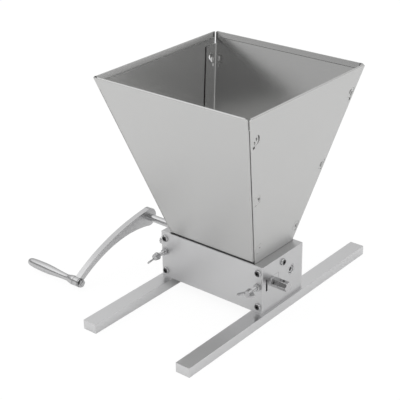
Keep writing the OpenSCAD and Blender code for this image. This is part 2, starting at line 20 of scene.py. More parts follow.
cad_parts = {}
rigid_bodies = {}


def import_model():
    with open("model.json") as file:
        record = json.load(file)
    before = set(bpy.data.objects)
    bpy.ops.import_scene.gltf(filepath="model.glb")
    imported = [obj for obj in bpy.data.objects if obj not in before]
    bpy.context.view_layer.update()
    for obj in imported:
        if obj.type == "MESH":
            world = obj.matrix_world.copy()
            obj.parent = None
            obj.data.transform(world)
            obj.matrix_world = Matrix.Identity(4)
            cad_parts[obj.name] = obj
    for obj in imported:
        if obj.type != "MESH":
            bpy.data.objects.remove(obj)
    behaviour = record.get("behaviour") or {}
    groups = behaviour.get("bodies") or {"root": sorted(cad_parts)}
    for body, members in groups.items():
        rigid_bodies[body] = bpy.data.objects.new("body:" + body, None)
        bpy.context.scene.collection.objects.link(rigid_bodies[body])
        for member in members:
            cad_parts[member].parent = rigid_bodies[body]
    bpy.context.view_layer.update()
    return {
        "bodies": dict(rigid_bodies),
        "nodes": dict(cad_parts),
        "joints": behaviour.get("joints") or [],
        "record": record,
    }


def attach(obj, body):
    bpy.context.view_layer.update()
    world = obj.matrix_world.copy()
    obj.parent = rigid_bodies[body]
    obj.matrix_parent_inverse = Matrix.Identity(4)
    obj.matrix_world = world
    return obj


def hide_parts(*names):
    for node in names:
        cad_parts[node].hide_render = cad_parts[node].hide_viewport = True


log = logging.getLogger("malt_mill")

MM = 0.001
MIDDLE_X = 68.25
TURN = 2 * math.pi
QUARTER = math.pi / 2
SIDES = (-1, 1)
SIDE_NAMES = ((-1, "left"), (1, "right"))
FACE_NAMES = ((-1, "front"), (1, "rear"))

# Places and sizes that more than one sub-assembly uses.
AXIS_Z = 49.3
REAR_Y = 18.2
FRONT_Y = -20.0
BOX_HALF_X = 80.0
BOX_HALF_Y = 42.0
PLATE_X = 73.65
PLATE_HALF_T = 6.35
SHEET_T = 1.0
SCREW_DIA = 5.0
HEAD_DIA = 9.5
HEAD_H = 2.75
NUT_FLATS = 8.0
NUT_H = 4.0
CRANK_RADIUS = 144.0
GRIP_Z = 9.6
CRANK_REST = math.asin((AXIS_Z - GRIP_Z) / CRANK_RADIUS)
ARM_IN_X = -155.0
ARM_OUT_X = -163.0
GRIP_X = -163.3

# Limits used while the meshes are made. A hexagon's corners stay whole where its limit is UNCUT.
UNCUT = math.inf
EDGE_ANGLE = math.radians(30)
CREASE_ANGLE = math.radians(38)
FLAT_ANGLE = math.radians(0.5)
SAME_POINT = 1e-6

# Face attributes that the finishes read, and where their faces lie: inner faces look up at least
# by INNER_RISE, and the faces of a fastener's socket and bore, which get painted shade, lie within
# SOCKET_SHADE_REACH of the axis of a fastener one across.
INNER_FACE = "inner_face"
INNER_RISE = 0.02
SOCKET_SHADE_FACE = "socket_shade_face"
SOCKET_SHADE_REACH = 0.33

Outline = list[tuple[float, float]]
Profile = Sequence[tuple[float, ...]]
Spot = tuple[Sequence[float], Sequence[float], float]


class Axis(Enum):
    """Direction along the rollers that a turned shape points in."""

    LEFT = Vector((-1, 0, 0))
    RIGHT = Vector((1, 0, 0))

    def frame(self, origin: Sequence[float]) -> Matrix:
        """Returns the matrix that lays a shape built along Z in this direction at a place.

        Args:
            origin: Place of the shape's own origin.

        Returns:
            The matrix from the shape to the mill.
        """
        turn = self.value.to_track_quat("Z", "Y").to_matrix().to_4x4()
        return Matrix.Translation(Vector(origin)) @ turn


class Slot(Enum):
    """Material slots of the record."""

    HOPPER = "hopper_sheet"
    PLATE = "box_plate"
    COVER = "cover_sheet"
    FOOT = "foot_bar"
    CRANK = "crank_metal"
    ROLLER = "roller_steel"
    SHAFT = "shaft_steel"
    FASTENER = "fastener_steel"
    DARK = "dark_screw"


class Bench:
    """Adds and joins the nodes of one tree."""

    def __init__(self, tree: bpy.types.NodeTree) -> None:
        """Keeps the tree that the nodes go into."""
        self.tree = tree

    @classmethod
    def emptied(cls, owner: bpy.types.Material | bpy.types.World) -> Bench:
        """Returns a bench on the emptied tree of a material or a world.

        Args:
            owner: The material or world.

        Returns:
            The bench.
        """
        owner.use_nodes = True
        owner.node_tree.nodes.clear()
        return cls(owner.node_tree)

    @classmethod
    def group(cls, name: str, kind: str, inputs: Sequence[tuple], outputs: Sequence[tuple]) -> Bench:
        """Starts a node group with named sockets.

        Args:
            name: The group's name.
            kind: The type of its tree.
            inputs: Name, type such as Float, and a starting value where it has one, of each input.
            outputs: Name and type of each output.

        Returns:
            The bench of the group's tree.
        """
        bench = cls(bpy.data.node_groups.new(name, kind))
        for side, rows in (("INPUT", inputs), ("OUTPUT", outputs)):
            for label, part, *value in rows:
                socket = f"NodeSocket{part}"
                made = bench.tree.interface.new_socket(name=label, in_out=side, socket_type=socket)
                if value:
                    made.default_value = value[0]
        return bench

    def given(self) -> bpy.types.NodeOutputs:
        """Returns the group's inputs as outputs to draw from."""
        return self.add("NodeGroupInput").outputs

    def add(self, kind: str, inputs: dict | None = None, **settings: object) -> bpy.types.Node:
        """Adds a node, sets its options and sets or joins its inputs.

        Args:
            kind: The node's type.
            inputs: A constant or another node's output for each input's name or place.
            **settings: Options of the node itself.

        Returns:
            The new node.
        """
        node = self.tree.nodes.new(kind)
        for name, value in settings.items():
            setattr(node, name, value)
        for key, value in (inputs or {}).items():
            if isinstance(value, bpy.types.NodeSocket):
                self.tree.links.new(value, node.inputs[key])
            else:
                node.inputs[key].default_value = value
        return node

    def math(self, operation: str, *values: object) -> bpy.types.NodeSocket:
        """Returns the output of a math node on constants or outputs."""
        return self.add("ShaderNodeMath", dict(enumerate(values)), operation=operation).outputs[0]

    def eased(self, value: bpy.types.NodeSocket, low: float, high: float) -> bpy.types.NodeSocket:
        """Returns how far a value has come from one limit to the other, eased at both."""
        limits = {0: value, 1: low, 2: high}
        return self.add("ShaderNodeMapRange", limits, interpolation_type="SMOOTHSTEP").outputs[0]

    def blend(self, share: bpy.types.NodeSocket, first: object, second: object) -> bpy.types.NodeSocket:
        """Returns the colour between two colours."""
        return self.add("ShaderNodeMix", {0: share, 6: first, 7: second}, data_type="RGBA").outputs[2]

    def mark(self, name: str) -> bpy.types.NodeSocket:
        """Returns the value of one of the piece's own attributes."""
        return self.add("ShaderNodeAttribute", attribute_name=name).outputs["Fac"]

    def shaders(self, share: object, first: bpy.types.Node, second: bpy.types.Node) -> bpy.types.Node:
        """Returns the shader between two shaders."""
        return self.add("ShaderNodeMixShader", {0: share, 1: first.outputs[0], 2: second.outputs[0]})

    def mirrored(self, paths: bpy.types.NodeOutputs) -> bpy.types.NodeSocket:
        """Returns one where gloss or glass looks at a surface."""
        return self.math("MAXIMUM", paths["Is Glossy Ray"], paths["Is Transmission Ray"])

    def close_geometry(self, shape: bpy.types.Node, material: bpy.types.NodeSocket) -> bpy.types.NodeTree:
        """Ends a geometry tree with real geometry in the given material.

        Args:
            shape: The node that puts the geometry out.
            material: The material.

        Returns:
            The tree.
        """
        real = self.add("GeometryNodeRealizeInstances", {"Geometry": shape.outputs[0]}).outputs[0]
        dressed = self.add("GeometryNodeSetMaterial", {"Geometry": real, "Material": material})
        self.add("NodeGroupOutput", {0: dressed.outputs[0]})
        return self.tree


def grain_group() -> bpy.types.NodeTree:
    """Builds the group that draws fine lines along a sheet or round a turned part.

    Returns:
        The group, with fine lines and broad bands as its outputs.
    """
    inputs = (("Place", "Vector"), ("Lines per metre", "Vector", (30.0, 30.0, 3000.0)),
              ("Softness", "Float", 0.5))
    bench = Bench.group("metal_grain", "ShaderNodeTree", inputs, (("Lines", "Float"), ("Bands", "Float")))
    place, density, softness = bench.given()[:3]
    spread = bench.add("ShaderNodeVectorMath", {0: place, 1: density}, operation="MULTIPLY").outputs[0]
    fine = bench.add("ShaderNodeTexNoise", {
        "Vector": spread, "Scale": 1.0, "Detail": 3.0, "Roughness": softness})
    broad = bench.add("ShaderNodeTexNoise", {"Vector": spread, "Scale": 0.06, "Detail": 2.0})
    bench.add("NodeGroupOutput", {0: fine.outputs[0], 1: broad.outputs[0]})
    return bench.tree


def handling_group() -> bpy.types.NodeTree:
    """Builds the group that marks where hands and cloths left a surface a little duller.

    Returns:
        The group, with a mask of smears and a slow wave as its outputs.
    """
    inputs = (("Place", "Vector"), ("Marks per metre", "Float", 25.0), ("Waves per metre", "Float", 6.0))
    bench = Bench.group("handling_marks", "ShaderNodeTree", inputs, (("Smear", "Float"), ("Wave", "Float")))
    place, marks, waves = bench.given()[:3]
    smears = bench.add("ShaderNodeTexNoise", {
        "Vector": place, "Scale": marks, "Detail": 4.0, "Roughness": 0.55, "Distortion": 0.6})
    slow = bench.add("ShaderNodeTexNoise", {"Vector": place, "Scale": waves, "Detail": 1.0})
    bench.add("NodeGroupOutput", {0: bench.eased(smears.outputs[0], 0.48, 0.74), 1: slow.outputs[0]})
    return bench.tree


@dataclass(frozen=True)
class MetalFinish:
    """One metal's colour, gloss, grain and unevenness, with painted shade in fastener sockets and bores
    where set.
    """

    slot: Slot
    colour: tuple[float, float, float]
    roughness: float
    lines: tuple[float, float, float]
    line_depth: float = 0.02
    tone_spread: float = 0.03
    rough_spread: float = 0.08
    smear: float = 0.05
    wave_depth: float = 0.0
    inner_roughness: float | None = None
    # Share by which a fastener's socket and bore faces are darkened, as painted shade.
    painted_socket_shade: float = 0.0
    fine_share: float = 0.65

    def tone(self, share: float) -> tuple[float, float, float, float]:
        """Returns the colour made lighter or darker by a share."""
        return (*(min(1.0, v * (1 + share)) for v in self.colour), 1.0)

    def build(self, groups: dict[str, bpy.types.NodeTree]) -> bpy.types.Material:
        """Builds the finish as a material.

        Args:
            groups: The shared node groups by name.

        Returns:
            The material.
        """
        made = bpy.data.materials.new(self.slot.value)
        bench = Bench.emptied(made)
        place = bench.add("ShaderNodeTexCoord").outputs["Object"]
        grain = {"Place": place, "Lines per metre": self.lines}
        lines, bands = bench.add("ShaderNodeGroup", grain, node_tree=groups["grain"]).outputs
        smear, wave = bench.add("ShaderNodeGroup", {"Place": place}, node_tree=groups["handling"]).outputs
        both = bench.math("ADD", bench.math("MULTIPLY", lines, self.fine_share),
                          bench.math("MULTIPLY", bands, 1 - self.fine_share))
        colour = bench.blend(both, self.tone(-self.tone_spread), self.tone(self.tone_spread))
        # Painted shade: the faces of a fastener's socket and bore are darkened to stand in for the shade
        # inside them.
        if self.painted_socket_shade:
            colour = bench.blend(bench.mark(SOCKET_SHADE_FACE), colour, self.tone(-self.painted_socket_shade))
        gloss = self.roughness
        if self.inner_roughness is not None:
            change = self.inner_roughness - self.roughness
            gloss = bench.math("MULTIPLY_ADD", bench.mark(INNER_FACE), change, self.roughness)
        rough = bench.math("MULTIPLY_ADD", bench.math("SUBTRACT", both, 0.5), self.rough_spread, gloss)
        rough = bench.math("MULTIPLY_ADD", smear, self.smear, rough)
        scratches = bench.math("MULTIPLY", lines, self.line_depth)
        height = bench.math("MULTIPLY_ADD", wave, self.wave_depth, scratches)
        bump = bench.add("ShaderNodeBump", {"Height": height, "Distance": MM, "Strength": 1.0})
        shader = bench.add("ShaderNodeBsdfPrincipled", {
            "Base Color": colour, "Roughness": rough, "Metallic": 1.0, "Normal": bump.outputs[0]})
        bench.add("ShaderNodeOutputMaterial", {"Surface": shader.outputs[0]})
        return made


FINISHES = (
    MetalFinish(Slot.HOPPER, (0.60, 0.60, 0.595), 0.42, (12.0, 12.0, 2600.0), line_depth=0.002,
                tone_spread=0.015, rough_spread=0.04, smear=0.02, wave_depth=0.06, inner_roughness=0.2),
    MetalFinish(Slot.PLATE, (0.61, 0.61, 0.615), 0.30, (2400.0, 30.0, 30.0), line_depth=0.003,
                tone_spread=0.02),
    MetalFinish(Slot.COVER, (0.68, 0.68, 0.685), 0.48, (16.0, 16.0, 2400.0), line_depth=0.002,
                tone_spread=0.015, smear=0.03, wave_depth=0.08),
    MetalFinish(Slot.FOOT, (0.70, 0.70, 0.705), 0.32, (2200.0, 10.0, 2200.0), line_depth=0.003,
                tone_spread=0.02),
    MetalFinish(Slot.CRANK, (0.56, 0.56, 0.565), 0.24, (500.0, 500.0, 500.0), line_depth=0.002),
    # The rollers' colour is far darker than their plain steel: painted shade for the dim inside of the box.
    MetalFinish(Slot.ROLLER, (0.09, 0.09, 0.093), 0.35, (2600.0, 60.0, 60.0), line_depth=0.01,
                tone_spread=0.08),
    MetalFinish(Slot.SHAFT, (0.56, 0.56, 0.565), 0.15, (3000.0, 40.0, 40.0), line_depth=0.004),
    # The fasteners' sockets and bores are darkened by 0.86 as painted shade.
    MetalFinish(Slot.FASTENER, (0.50, 0.50, 0.505), 0.12, (900.0, 900.0, 900.0), line_depth=0.002,
                painted_socket_shade=0.86),
    MetalFinish(Slot.DARK, (0.06, 0.06, 0.062), 0.40, (900.0, 900.0, 900.0), line_depth=0.01),
)


def stations(start: float, stop: float, steps: int) -> list[float]:
    """Returns evenly spaced values from one end to the other, both included."""
    return [start + (stop - start) * k / steps for k in range(steps + 1)]


def circle(radius: float, z: float, count: int) -> list[Vector]:
    """Returns a ring of points round Z."""
    turns = [TURN * i / count for i in range(count)]
    return [Vector((radius * math.cos(turn), radius * math.sin(turn), z)) for turn in turns]


def hexagon(flats: float, z: float, limit: float, count: int) -> list[Vector]:
    """Returns a ring of points on a hexagon round Z, cut off at a limiting radius.

    Args:
        flats: Size across the flats.
        z: Height of the ring.
        limit: Largest radius of a point.
        count: Number of points, a multiple of six.

    Returns:
        The ring's points.
    """
    ring = []
    for point in circle(1.0, z, count):
        turn = math.atan2(point.y, point.x) % (TURN / 6) - TURN / 12
        reach = min(flats / 2 / math.cos(turn), limit)
        ring.append(Vector((point.x * reach, point.y * reach, z)))
    return ring


def add_object(name: str, data: bpy.types.ID) -> bpy.types.Object:
    """Makes an object of a mesh, camera or lamp and links it to the scene.

    Args:
        name: The object's name.
        data: Its mesh, camera or lamp.

    Returns:
        The object.
    """
    made = bpy.data.objects.new(name, data)
    bpy.context.scene.collection.objects.link(made)
    return made


def discard(piece: bpy.types.Object) -> None:
    """Removes a helper object and its mesh.

    Args:
        piece: The helper object.
    """
    data = piece.data
    bpy.data.objects.remove(piece)
    bpy.data.meshes.remove(data)


def bake(piece: bpy.types.Object) -> None:
    """Turns a piece's modifiers into plain mesh and removes them.

    Args:
        piece: The piece.
    """
    bpy.context.view_layer.update()
    graph = bpy.context.evaluated_depsgraph_get()
    data = bpy.data.meshes.new_from_object(piece.evaluated_get(graph))
    piece.modifiers.clear()
    piece.data = data


def modify(piece: bpy.types.Object, kind: str, **settings: object) -> None:
    """Runs one modifier on a piece and keeps the result as plain mesh.

    Args:
        piece: The piece.
        kind: The modifier's type.
        **settings: Its options.
    """
    modifier = piece.modifiers.new(kind.lower(), kind)
    for name, value in settings.items():
        setattr(modifier, name, value)
    bake(piece)


def round_edges(piece: bpy.types.Object, width: float, segments: int = 2) -> None:
    """Rounds a piece's edges over a width in its own unit, in a number of steps."""
    modify(piece, "BEVEL", width=width, segments=segments, limit_method="ANGLE", angle_limit=EDGE_ANGLE)


@contextmanager
def opened(piece: bpy.types.Object) -> Iterator[bmesh.types.BMesh]:
    """Opens a piece's mesh for changes and writes them back.

    Args:
        piece: The piece.

    Returns:
        The mesh to change.
    """
    mesh = bmesh.new()
    mesh.from_mesh(piece.data)
    yield mesh
    mesh.to_mesh(piece.data)
    mesh.free()


def join_objects(piece: bpy.types.Object, other: bpy.types.Object) -> None:
    """Adds another object's mesh to a piece and removes the other object.

    Args:
        piece: The piece that grows.
        other: The object that joins it.
    """
    with opened(piece) as mesh:
        mesh.from_mesh(other.data)
    discard(other)


def close_ends(piece: bpy.types.Object) -> None:
    """Closes a rod's open ends and turns its faces outwards.

    Args:
        piece: The rod.
    """
    with opened(piece) as mesh:
        bmesh.ops.holes_fill(mesh, edges=[e for e in mesh.edges if e.is_boundary], sides=0)
        bmesh.ops.recalc_face_normals(mesh, faces=mesh.faces)


class Shape:
    """A mesh in millimetres that becomes one piece of the mill."""

    def __init__(self) -> None:
        """Starts with an empty mesh."""
        self.mesh = bmesh.new()

    def skin(self, rings: list[list[Vector]], frame: Matrix | None = None, loop: bool = False,
             caps: bool = True) -> None:
        """Joins closed rings of points into a skin.

        Args:
            rings: Rings with equally many points.
            frame: Matrix from the rings to the mill.
            loop: Whether the last ring is joined to the first.
            caps: Whether the first and last rings are closed by a face.
        """
        frame = frame or Matrix()
        points = [[self.mesh.verts.new(frame @ p) for p in ring] for ring in rings]
        count = len(rings[0])
        for k in range(len(rings) if loop else len(rings) - 1):
            near, far = points[k], points[(k + 1) % len(rings)]
            for i in range(count):
                j = (i + 1) % count
                self.mesh.faces.new((near[i], near[j], far[j], far[i]))
        if caps and not loop:
            self.mesh.faces.new(points[0][::-1])
            self.mesh.faces.new(points[-1])

    def lathe(self, profile: Profile, frame: Matrix | None = None, count: int = 72, loop: bool = False,
              caps: bool = True) -> Shape:
        """Turns a profile round the frame's Z.

        Args:
            profile: Radius and height of each round ring, or size across the flats, height and
                largest radius of each hexagonal one.
            frame: Matrix from the turned shape to the mill.
            count: Points in each ring, a multiple of six where a ring is hexagonal.
            loop: Whether the profile is closed, as on a shape with a bore.
            caps: Whether the open ends of the profile are closed by a face.

        Returns:
            The shape itself.
        """
        rings = [(circle if len(ring) == 2 else hexagon)(*ring, count) for ring in profile]
        self.skin(rings, frame, loop, caps)
        return self

    def prism(self, outline: Sequence[tuple[float, float]], low: float, high: float,
              frame: Matrix | None = None) -> None:
        """Raises an outline between two heights along the frame's Z."""
        self.skin([[Vector((x, y, z)) for x, y in outline] for z in (low, high)], frame)

    def quads(self, low: Sequence, high: Sequence, flip: bool = False) -> None:
        """Joins two rows of the mesh's points by faces.

        Args:
            low: The first row.
            high: The second row.
            flip: Whether the faces are turned over.
        """
        for i in range(len(low) - 1):
            quad = (low[i], low[i + 1], high[i + 1], high[i])
            self.mesh.faces.new(quad[::-1] if flip else quad)

    def to_object(self, name: str, tidy: bool = True) -> bpy.types.Object:
        """Makes an object of the mesh, still in millimetres.

        Args:
            name: The object's name.
            tidy: Whether the faces are turned outwards.

        Returns:
            The object, linked to the scene.
        """
        if tidy:
            bmesh.ops.recalc_face_normals(self.mesh, faces=self.mesh.faces)
        data = bpy.data.meshes.new(name)
        self.mesh.to_mesh(data)
        self.mesh.free()
        return add_object(name, data)

    def to_sheet(self, name: str) -> bpy.types.Object:
        """Makes a closed sheet of the mesh, whose faces are the sheet's outer face.

        Args:
            name: The object's name.

        Returns:
            The sheet in millimetres.
        """
        piece = self.to_object(name, tidy=False)
        modify(piece, "SOLIDIFY", thickness=SHEET_T, offset=-1, use_even_offset=True)
        return piece


def cut(piece: bpy.types.Object, cutter: Shape) -> None:
    """Cuts a closed shape out of a piece.

    Args:
        piece: The piece.
        cutter: The closed shape.
    """
    tool = cutter.to_object("cutter")
    modify(piece, "BOOLEAN", operation="DIFFERENCE", solver="EXACT", object=tool)
    discard(tool)


class Fitter:
    """Finishes pieces and hangs them on the bodies of the frame."""

    def __init__(self, frame: dict) -> None:
        """Builds the shared materials and trees for a loaded frame.

        Args:
            frame: The loaded frame.
        """
        self.nodes = frame["nodes"]
        self.record = frame["record"]
        groups = {"grain": grain_group(), "handling": handling_group()}
        self.materials = {finish.slot: finish.build(groups) for finish in FINISHES}
        self.fastener_tree = fastener_tree()
        self.rod_tree = rod_tree()
        self.placed = 0

    def dress(self, piece: bpy.types.Object, slot: Slot) -> None:
        """Gives a piece the material of a slot as its only one."""
        piece.data.materials.clear()
        piece.data.materials.append(self.materials[slot])

    def dress_nodes(self) -> None:
        """Gives every CAD node the material of its slot in the record."""
        for row in self.record["subparts"]:
            self.dress(self.nodes[row["node"]], Slot(row["material_slot"]))

    def soften(self, node: str, width: float, segments: int = 2) -> bpy.types.Object:
        """Copies a CAD node as a clean mesh in millimetres with rounded edges.

        Args:
            node: The node's name.
            width: Width of the rounding.
            segments: Steps across the rounding.

        Returns:
            The copy.
        """
        shape = Shape()
        mesh = shape.mesh
        mesh.from_mesh(self.nodes[node].data)
        bmesh.ops.remove_doubles(mesh, verts=mesh.verts, dist=SAME_POINT)
        bmesh.ops.dissolve_limit(mesh, angle_limit=FLAT_ANGLE, verts=mesh.verts, edges=mesh.edges,
                                 use_dissolve_boundaries=False)
        mesh.transform(Matrix.Translation((-MIDDLE_X, 0, 0)) @ Matrix.Scale(1 / MM, 4))
        piece = shape.to_object(f"soft_{node}", tidy=False)
        round_edges(piece, width, segments)
        return piece

    def place(self, piece: bpy.types.Object, name: str, body: str, slot: Slot, *nodes: str) -> None:
        """Moves a piece in millimetres to the frame, finishes it and lets it ride on its body.

        Args:
            piece: The piece, in millimetres.
            name: Its name in the model.
            body: The body that it moves with.
            slot: The material slot that it is finished from.
            *nodes: CAD nodes that it stands for.
        """
        piece.data.transform(Matrix.Scale(MM, 4) @ Matrix.Translation((MIDDLE_X, 0, 0)))
        piece.name = name
        self.dress(piece, slot)
        piece.data.shade_smooth()
        piece.data.set_sharp_from_angle(angle=CREASE_ANGLE)
        modify(piece, "WEIGHTED_NORMAL", keep_sharp=True, weight=90)
        piece.data.name = name
        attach(piece, body)
        if nodes:
            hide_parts(*nodes)
        self.placed += 1
        log.info("%s rides on %s with %d faces", name, body, len(piece.data.polygons))

    def fasten(self, template: Shape, spots: Sequence[Spot], across: float, height: float,
               name: str, body: str, node: str) -> None:
        """Repeats a fastener of unit size at several spots and places the copies as one piece.

        Args:
            template: The fastener, with a size of one across and a height of one.
            spots: Place, direction and turn in degrees of each copy.
            across: Size across the fastener.
            height: Height that the template's height stands for.
            name: The piece's name in the model.
            body: The body that it moves with.
            node: The CAD node that it stands for.
        """
        pattern = template.to_object("fastener_template")
        # Marks the socket and bore faces near the axis, which get painted shade.
        shade_faces = pattern.data.attributes.new(SOCKET_SHADE_FACE, "FLOAT", "FACE")
        reaches = [face.center.to_2d().length for face in pattern.data.polygons]
        shade_faces.data.foreach_set("value", [float(reach < SOCKET_SHADE_REACH) for reach in reaches])
        data = bpy.data.meshes.new("fastener_spots")
        data.from_pydata([tuple(place) for place, _, _ in spots], [], [])
        facing = data.attributes.new("facing", "FLOAT_VECTOR", "POINT")
        facing.data.foreach_set("vector", [v for _, way, _ in spots for v in way])
        turn = data.attributes.new("turn", "FLOAT", "POINT")
        turn.data.foreach_set("value", [math.radians(angle) for _, _, angle in spots])
        piece = add_object("fasteners", data)
        self.run_tree(piece, self.fastener_tree, Slot.FASTENER,
                      {"Template": pattern, "Across": across, "Height": height})
        discard(pattern)
        self.place(piece, name, body, Slot.FASTENER, node)

    def rod(self, slot: Slot, sizes: dict[str, float]) -> bpy.types.Object:
        """Makes a knurled or threaded rod along Z with the rod tree.

        Args:
            slot: The slot whose material the rod gets.
            sizes: A value for each other input of the tree.

        Returns:
            The rod in millimetres, from zero up along Z.
        """
        piece = add_object("rod", bpy.data.meshes.new("rod"))
        self.run_tree(piece, self.rod_tree, slot, sizes)
        return piece

    def run_tree(self, piece: bpy.types.Object, tree: bpy.types.NodeTree, slot: Slot, values: dict) -> None:
        """Runs a geometry tree on a piece and keeps the result as plain mesh.

        Args:
            piece: The object that carries the modifier.
            tree: The geometry tree.
            slot: The slot whose material the tree sets.
            values: A value for each other named input.
        """
        modifier = piece.modifiers.new("tree", "NODES")
        modifier.node_group = tree
        values = {**values, "Material": self.materials[slot]}
        for item in tree.interface.items_tree:
            if item.name in values:
                modifier[item.identifier] = values[item.name]
        bake(piece)


def fastener_tree() -> bpy.types.NodeTree:
    """Builds the geometry tree that sets a fastener on each spot, along the spot's direction.

    Returns:
        The tree.
    """
    inputs = (("Geometry", "Geometry"), ("Template", "Object"), ("Across", "Float", 8.0),
              ("Height", "Float", 4.0), ("Material", "Material"))
    bench = Bench.group("fasteners_on_spots", "GeometryNodeTree", inputs, (("Geometry", "Geometry"),))
    spots, template, across, height, material = bench.given()[:5]
    shape = bench.add("GeometryNodeObjectInfo", {"Object": template}).outputs["Geometry"]
    facing, turn = (bench.add("GeometryNodeInputNamedAttribute", {"Name": name}, data_type=kind).outputs[0]
                    for name, kind in (("facing", "FLOAT_VECTOR"), ("turn", "FLOAT")))
    spin = bench.add("FunctionNodeAxisAngleToRotation", {"Axis": (0.0, 0.0, 1.0), "Angle": turn}).outputs[0]
    aim = bench.add("FunctionNodeAlignRotationToVector", {"Vector": facing}, axis="Z").outputs[0]
    whole = bench.add("FunctionNodeRotateRotation", {0: aim, 1: spin}, rotation_space="LOCAL").outputs[0]
    size = bench.add("ShaderNodeCombineXYZ", {0: across, 1: across, 2: height}).outputs[0]
    copies = bench.add("GeometryNodeInstanceOnPoints", {
        "Points": spots, "Instance": shape, "Rotation": whole, "Scale": size})
    return bench.close_geometry(copies, material)


def rod_tree() -> bpy.types.NodeTree:
    """Builds the geometry tree that wraps a grid round Z as a knurled or threaded rod.

    Ridges are diamonds where Diamonds is one, and a thread that climbs by Pitch where it is zero.

    Returns:
        The tree.
    """
    inputs = (("Geometry", "Geometry"), ("Radius", "Float", 2.5), ("Length", "Float", 20.0),
              ("Depth", "Float", 0.4), ("Pitch", "Float", 0.8), ("Diamonds", "Float", 0.0),
              ("Around", "Int", 32), ("Along", "Int", 200), ("Material", "Material"))
    bench = Bench.group("wrapped_rod", "GeometryNodeTree", inputs, (("Geometry", "Geometry"),))
    given, math_of = bench.given(), bench.math
    grid = bench.add("GeometryNodeMeshGrid", {
        "Size X": 1.0, "Size Y": 1.0, "Vertices X": math_of("ADD", given["Around"], 1.0),
        "Vertices Y": math_of("ADD", given["Along"], 1.0)})
    spot = bench.add("ShaderNodeSeparateXYZ", {0: bench.add("GeometryNodeInputPosition").outputs[0]}).outputs
    round_share, up_share = (math_of("ADD", spot[i], 0.5) for i in (0, 1))
    step = math_of("ADD", math_of("MULTIPLY", round_share, given["Around"]),
                   math_of("MULTIPLY", up_share, given["Along"]))
    diamond = math_of("MODULO", math_of("ROUND", step), 2.0)
    height = math_of("MULTIPLY", up_share, given["Length"])
    phase = math_of("SUBTRACT", math_of("DIVIDE", height, given["Pitch"]), round_share)
    groove = math_of("MULTIPLY", math_of("PINGPONG", phase, 0.5), 2.0)
    mixed = bench.add("ShaderNodeMix", {0: given["Diamonds"], 2: groove, 3: diamond}).outputs[0]
    inside = math_of("MULTIPLY", up_share, math_of("SUBTRACT", 1.0, up_share))
    near_end = math_of("SUBTRACT", 1.0, math_of("MINIMUM", math_of("MULTIPLY", inside, 1e5), 1.0))
    dip = math_of("MAXIMUM", mixed, near_end)
    radius = math_of("SUBTRACT", given["Radius"], math_of("MULTIPLY", dip, given["Depth"]))
    angle = math_of("MULTIPLY", round_share, TURN)
    x, y = (math_of("MULTIPLY", radius, math_of(wave, angle)) for wave in ("COSINE", "SINE"))
    point = bench.add("ShaderNodeCombineXYZ", {0: x, 1: y, 2: height}).outputs[0]
    wrapped = bench.add("GeometryNodeSetPosition", {"Geometry": grid.outputs[0], "Position": point})
    closed = bench.add("GeometryNodeMergeByDistance", {"Geometry": wrapped.outputs[0], "Distance": 0.001})
    return bench.close_geometry(closed, given["Material"])


def button_screw(length: float) -> Shape:
    """Builds a button head screw with a hexagon socket, one wide and one high at the head.

    Args:
        length: Length of the shank in head heights.

    Returns:
        The screw, with its head above the plane at zero.
    """
    shank = ((0.263, -length), (0.263, 0.0), (0.47, 0.0))
    dome = ((0.492, 0.03), (0.5, 0.12), (0.497, 0.28), (0.475, 0.52), (0.43, 0.72), (0.365, 0.87),
            (0.29, 0.96), (0.215, 0.995))
    socket = ((0.335, 0.99, UNCUT), (0.318, 0.95, UNCUT), (0.316, 0.36, UNCUT), (0.11, 0.30))
    return Shape().lathe((*shank, *dome, *socket), count=48)


def sunk_screw() -> Shape:
    """Builds a countersunk screw, one across its head and one long, with its socket below.

    Returns:
        The screw, with its shank upwards.
    """
    socket = ((0.10, 0.066), (0.30, 0.066, UNCUT), (0.30, 0.002, UNCUT))
    head = ((0.20, 0.0), (0.49, 0.0), (0.5, 0.004), (0.25, 0.1))
    return Shape().lathe((*socket, *head, (0.25, 0.985), (0.22, 1.0)), count=48)


def hex_nut() -> Shape:
    """Builds a chamfered hexagon nut, one across its flats and one high.

    Returns:
        The nut, with its lower face at zero.
    """
    bore, lip, crown, chamfer = 0.322, 0.345, 0.455, 0.53
    return Shape().lathe((
        (bore, 0.06), (lip, 0.0), (crown, 0.0), (1.0, 0.10, chamfer), (1.0, 0.17, UNCUT),
        (1.0, 0.83, UNCUT), (1.0, 0.90, chamfer), (crown, 1.0), (lip, 1.0), (bore, 0.94)), loop=True)


def flat_washer(bore: float) -> Shape:
    """Builds a washer with softened rims, one across and one high.

    Args:
        bore: Radius of the bore as a share of the washer's size.

    Returns:
        The washer, with its lower face at zero.
    """
    return Shape().lathe((
        (bore, 0.1), (bore + 0.01, 0.0), (0.485, 0.0), (0.5, 0.18), (0.5, 0.82), (0.485, 1.0),
        (bore + 0.01, 1.0), (bore, 0.9)), loop=True)


@dataclass(frozen=True)
class Slit:
    """Curved opening in a tongue, by its place past the neck, its ends and its width."""

    place: float
    low: float
    high: float
    width: float
    steps: int = 6

    def outline(self) -> Outline:
        """Returns the opening's outline as a slim crescent.

        Returns:
            The outline's points.
        """
        half = self.width / 2
        right, left = [], []
        for y, share in zip(stations(self.low, self.high, self.steps), stations(0.12, 0.88, self.steps)):
            swell = math.sin(math.pi * share)
            right.append((self.place + half * (2 * swell - 1), y))
            left.append((self.place - half * (1.5 - swell / 2), y))
        return right + left[::-1]


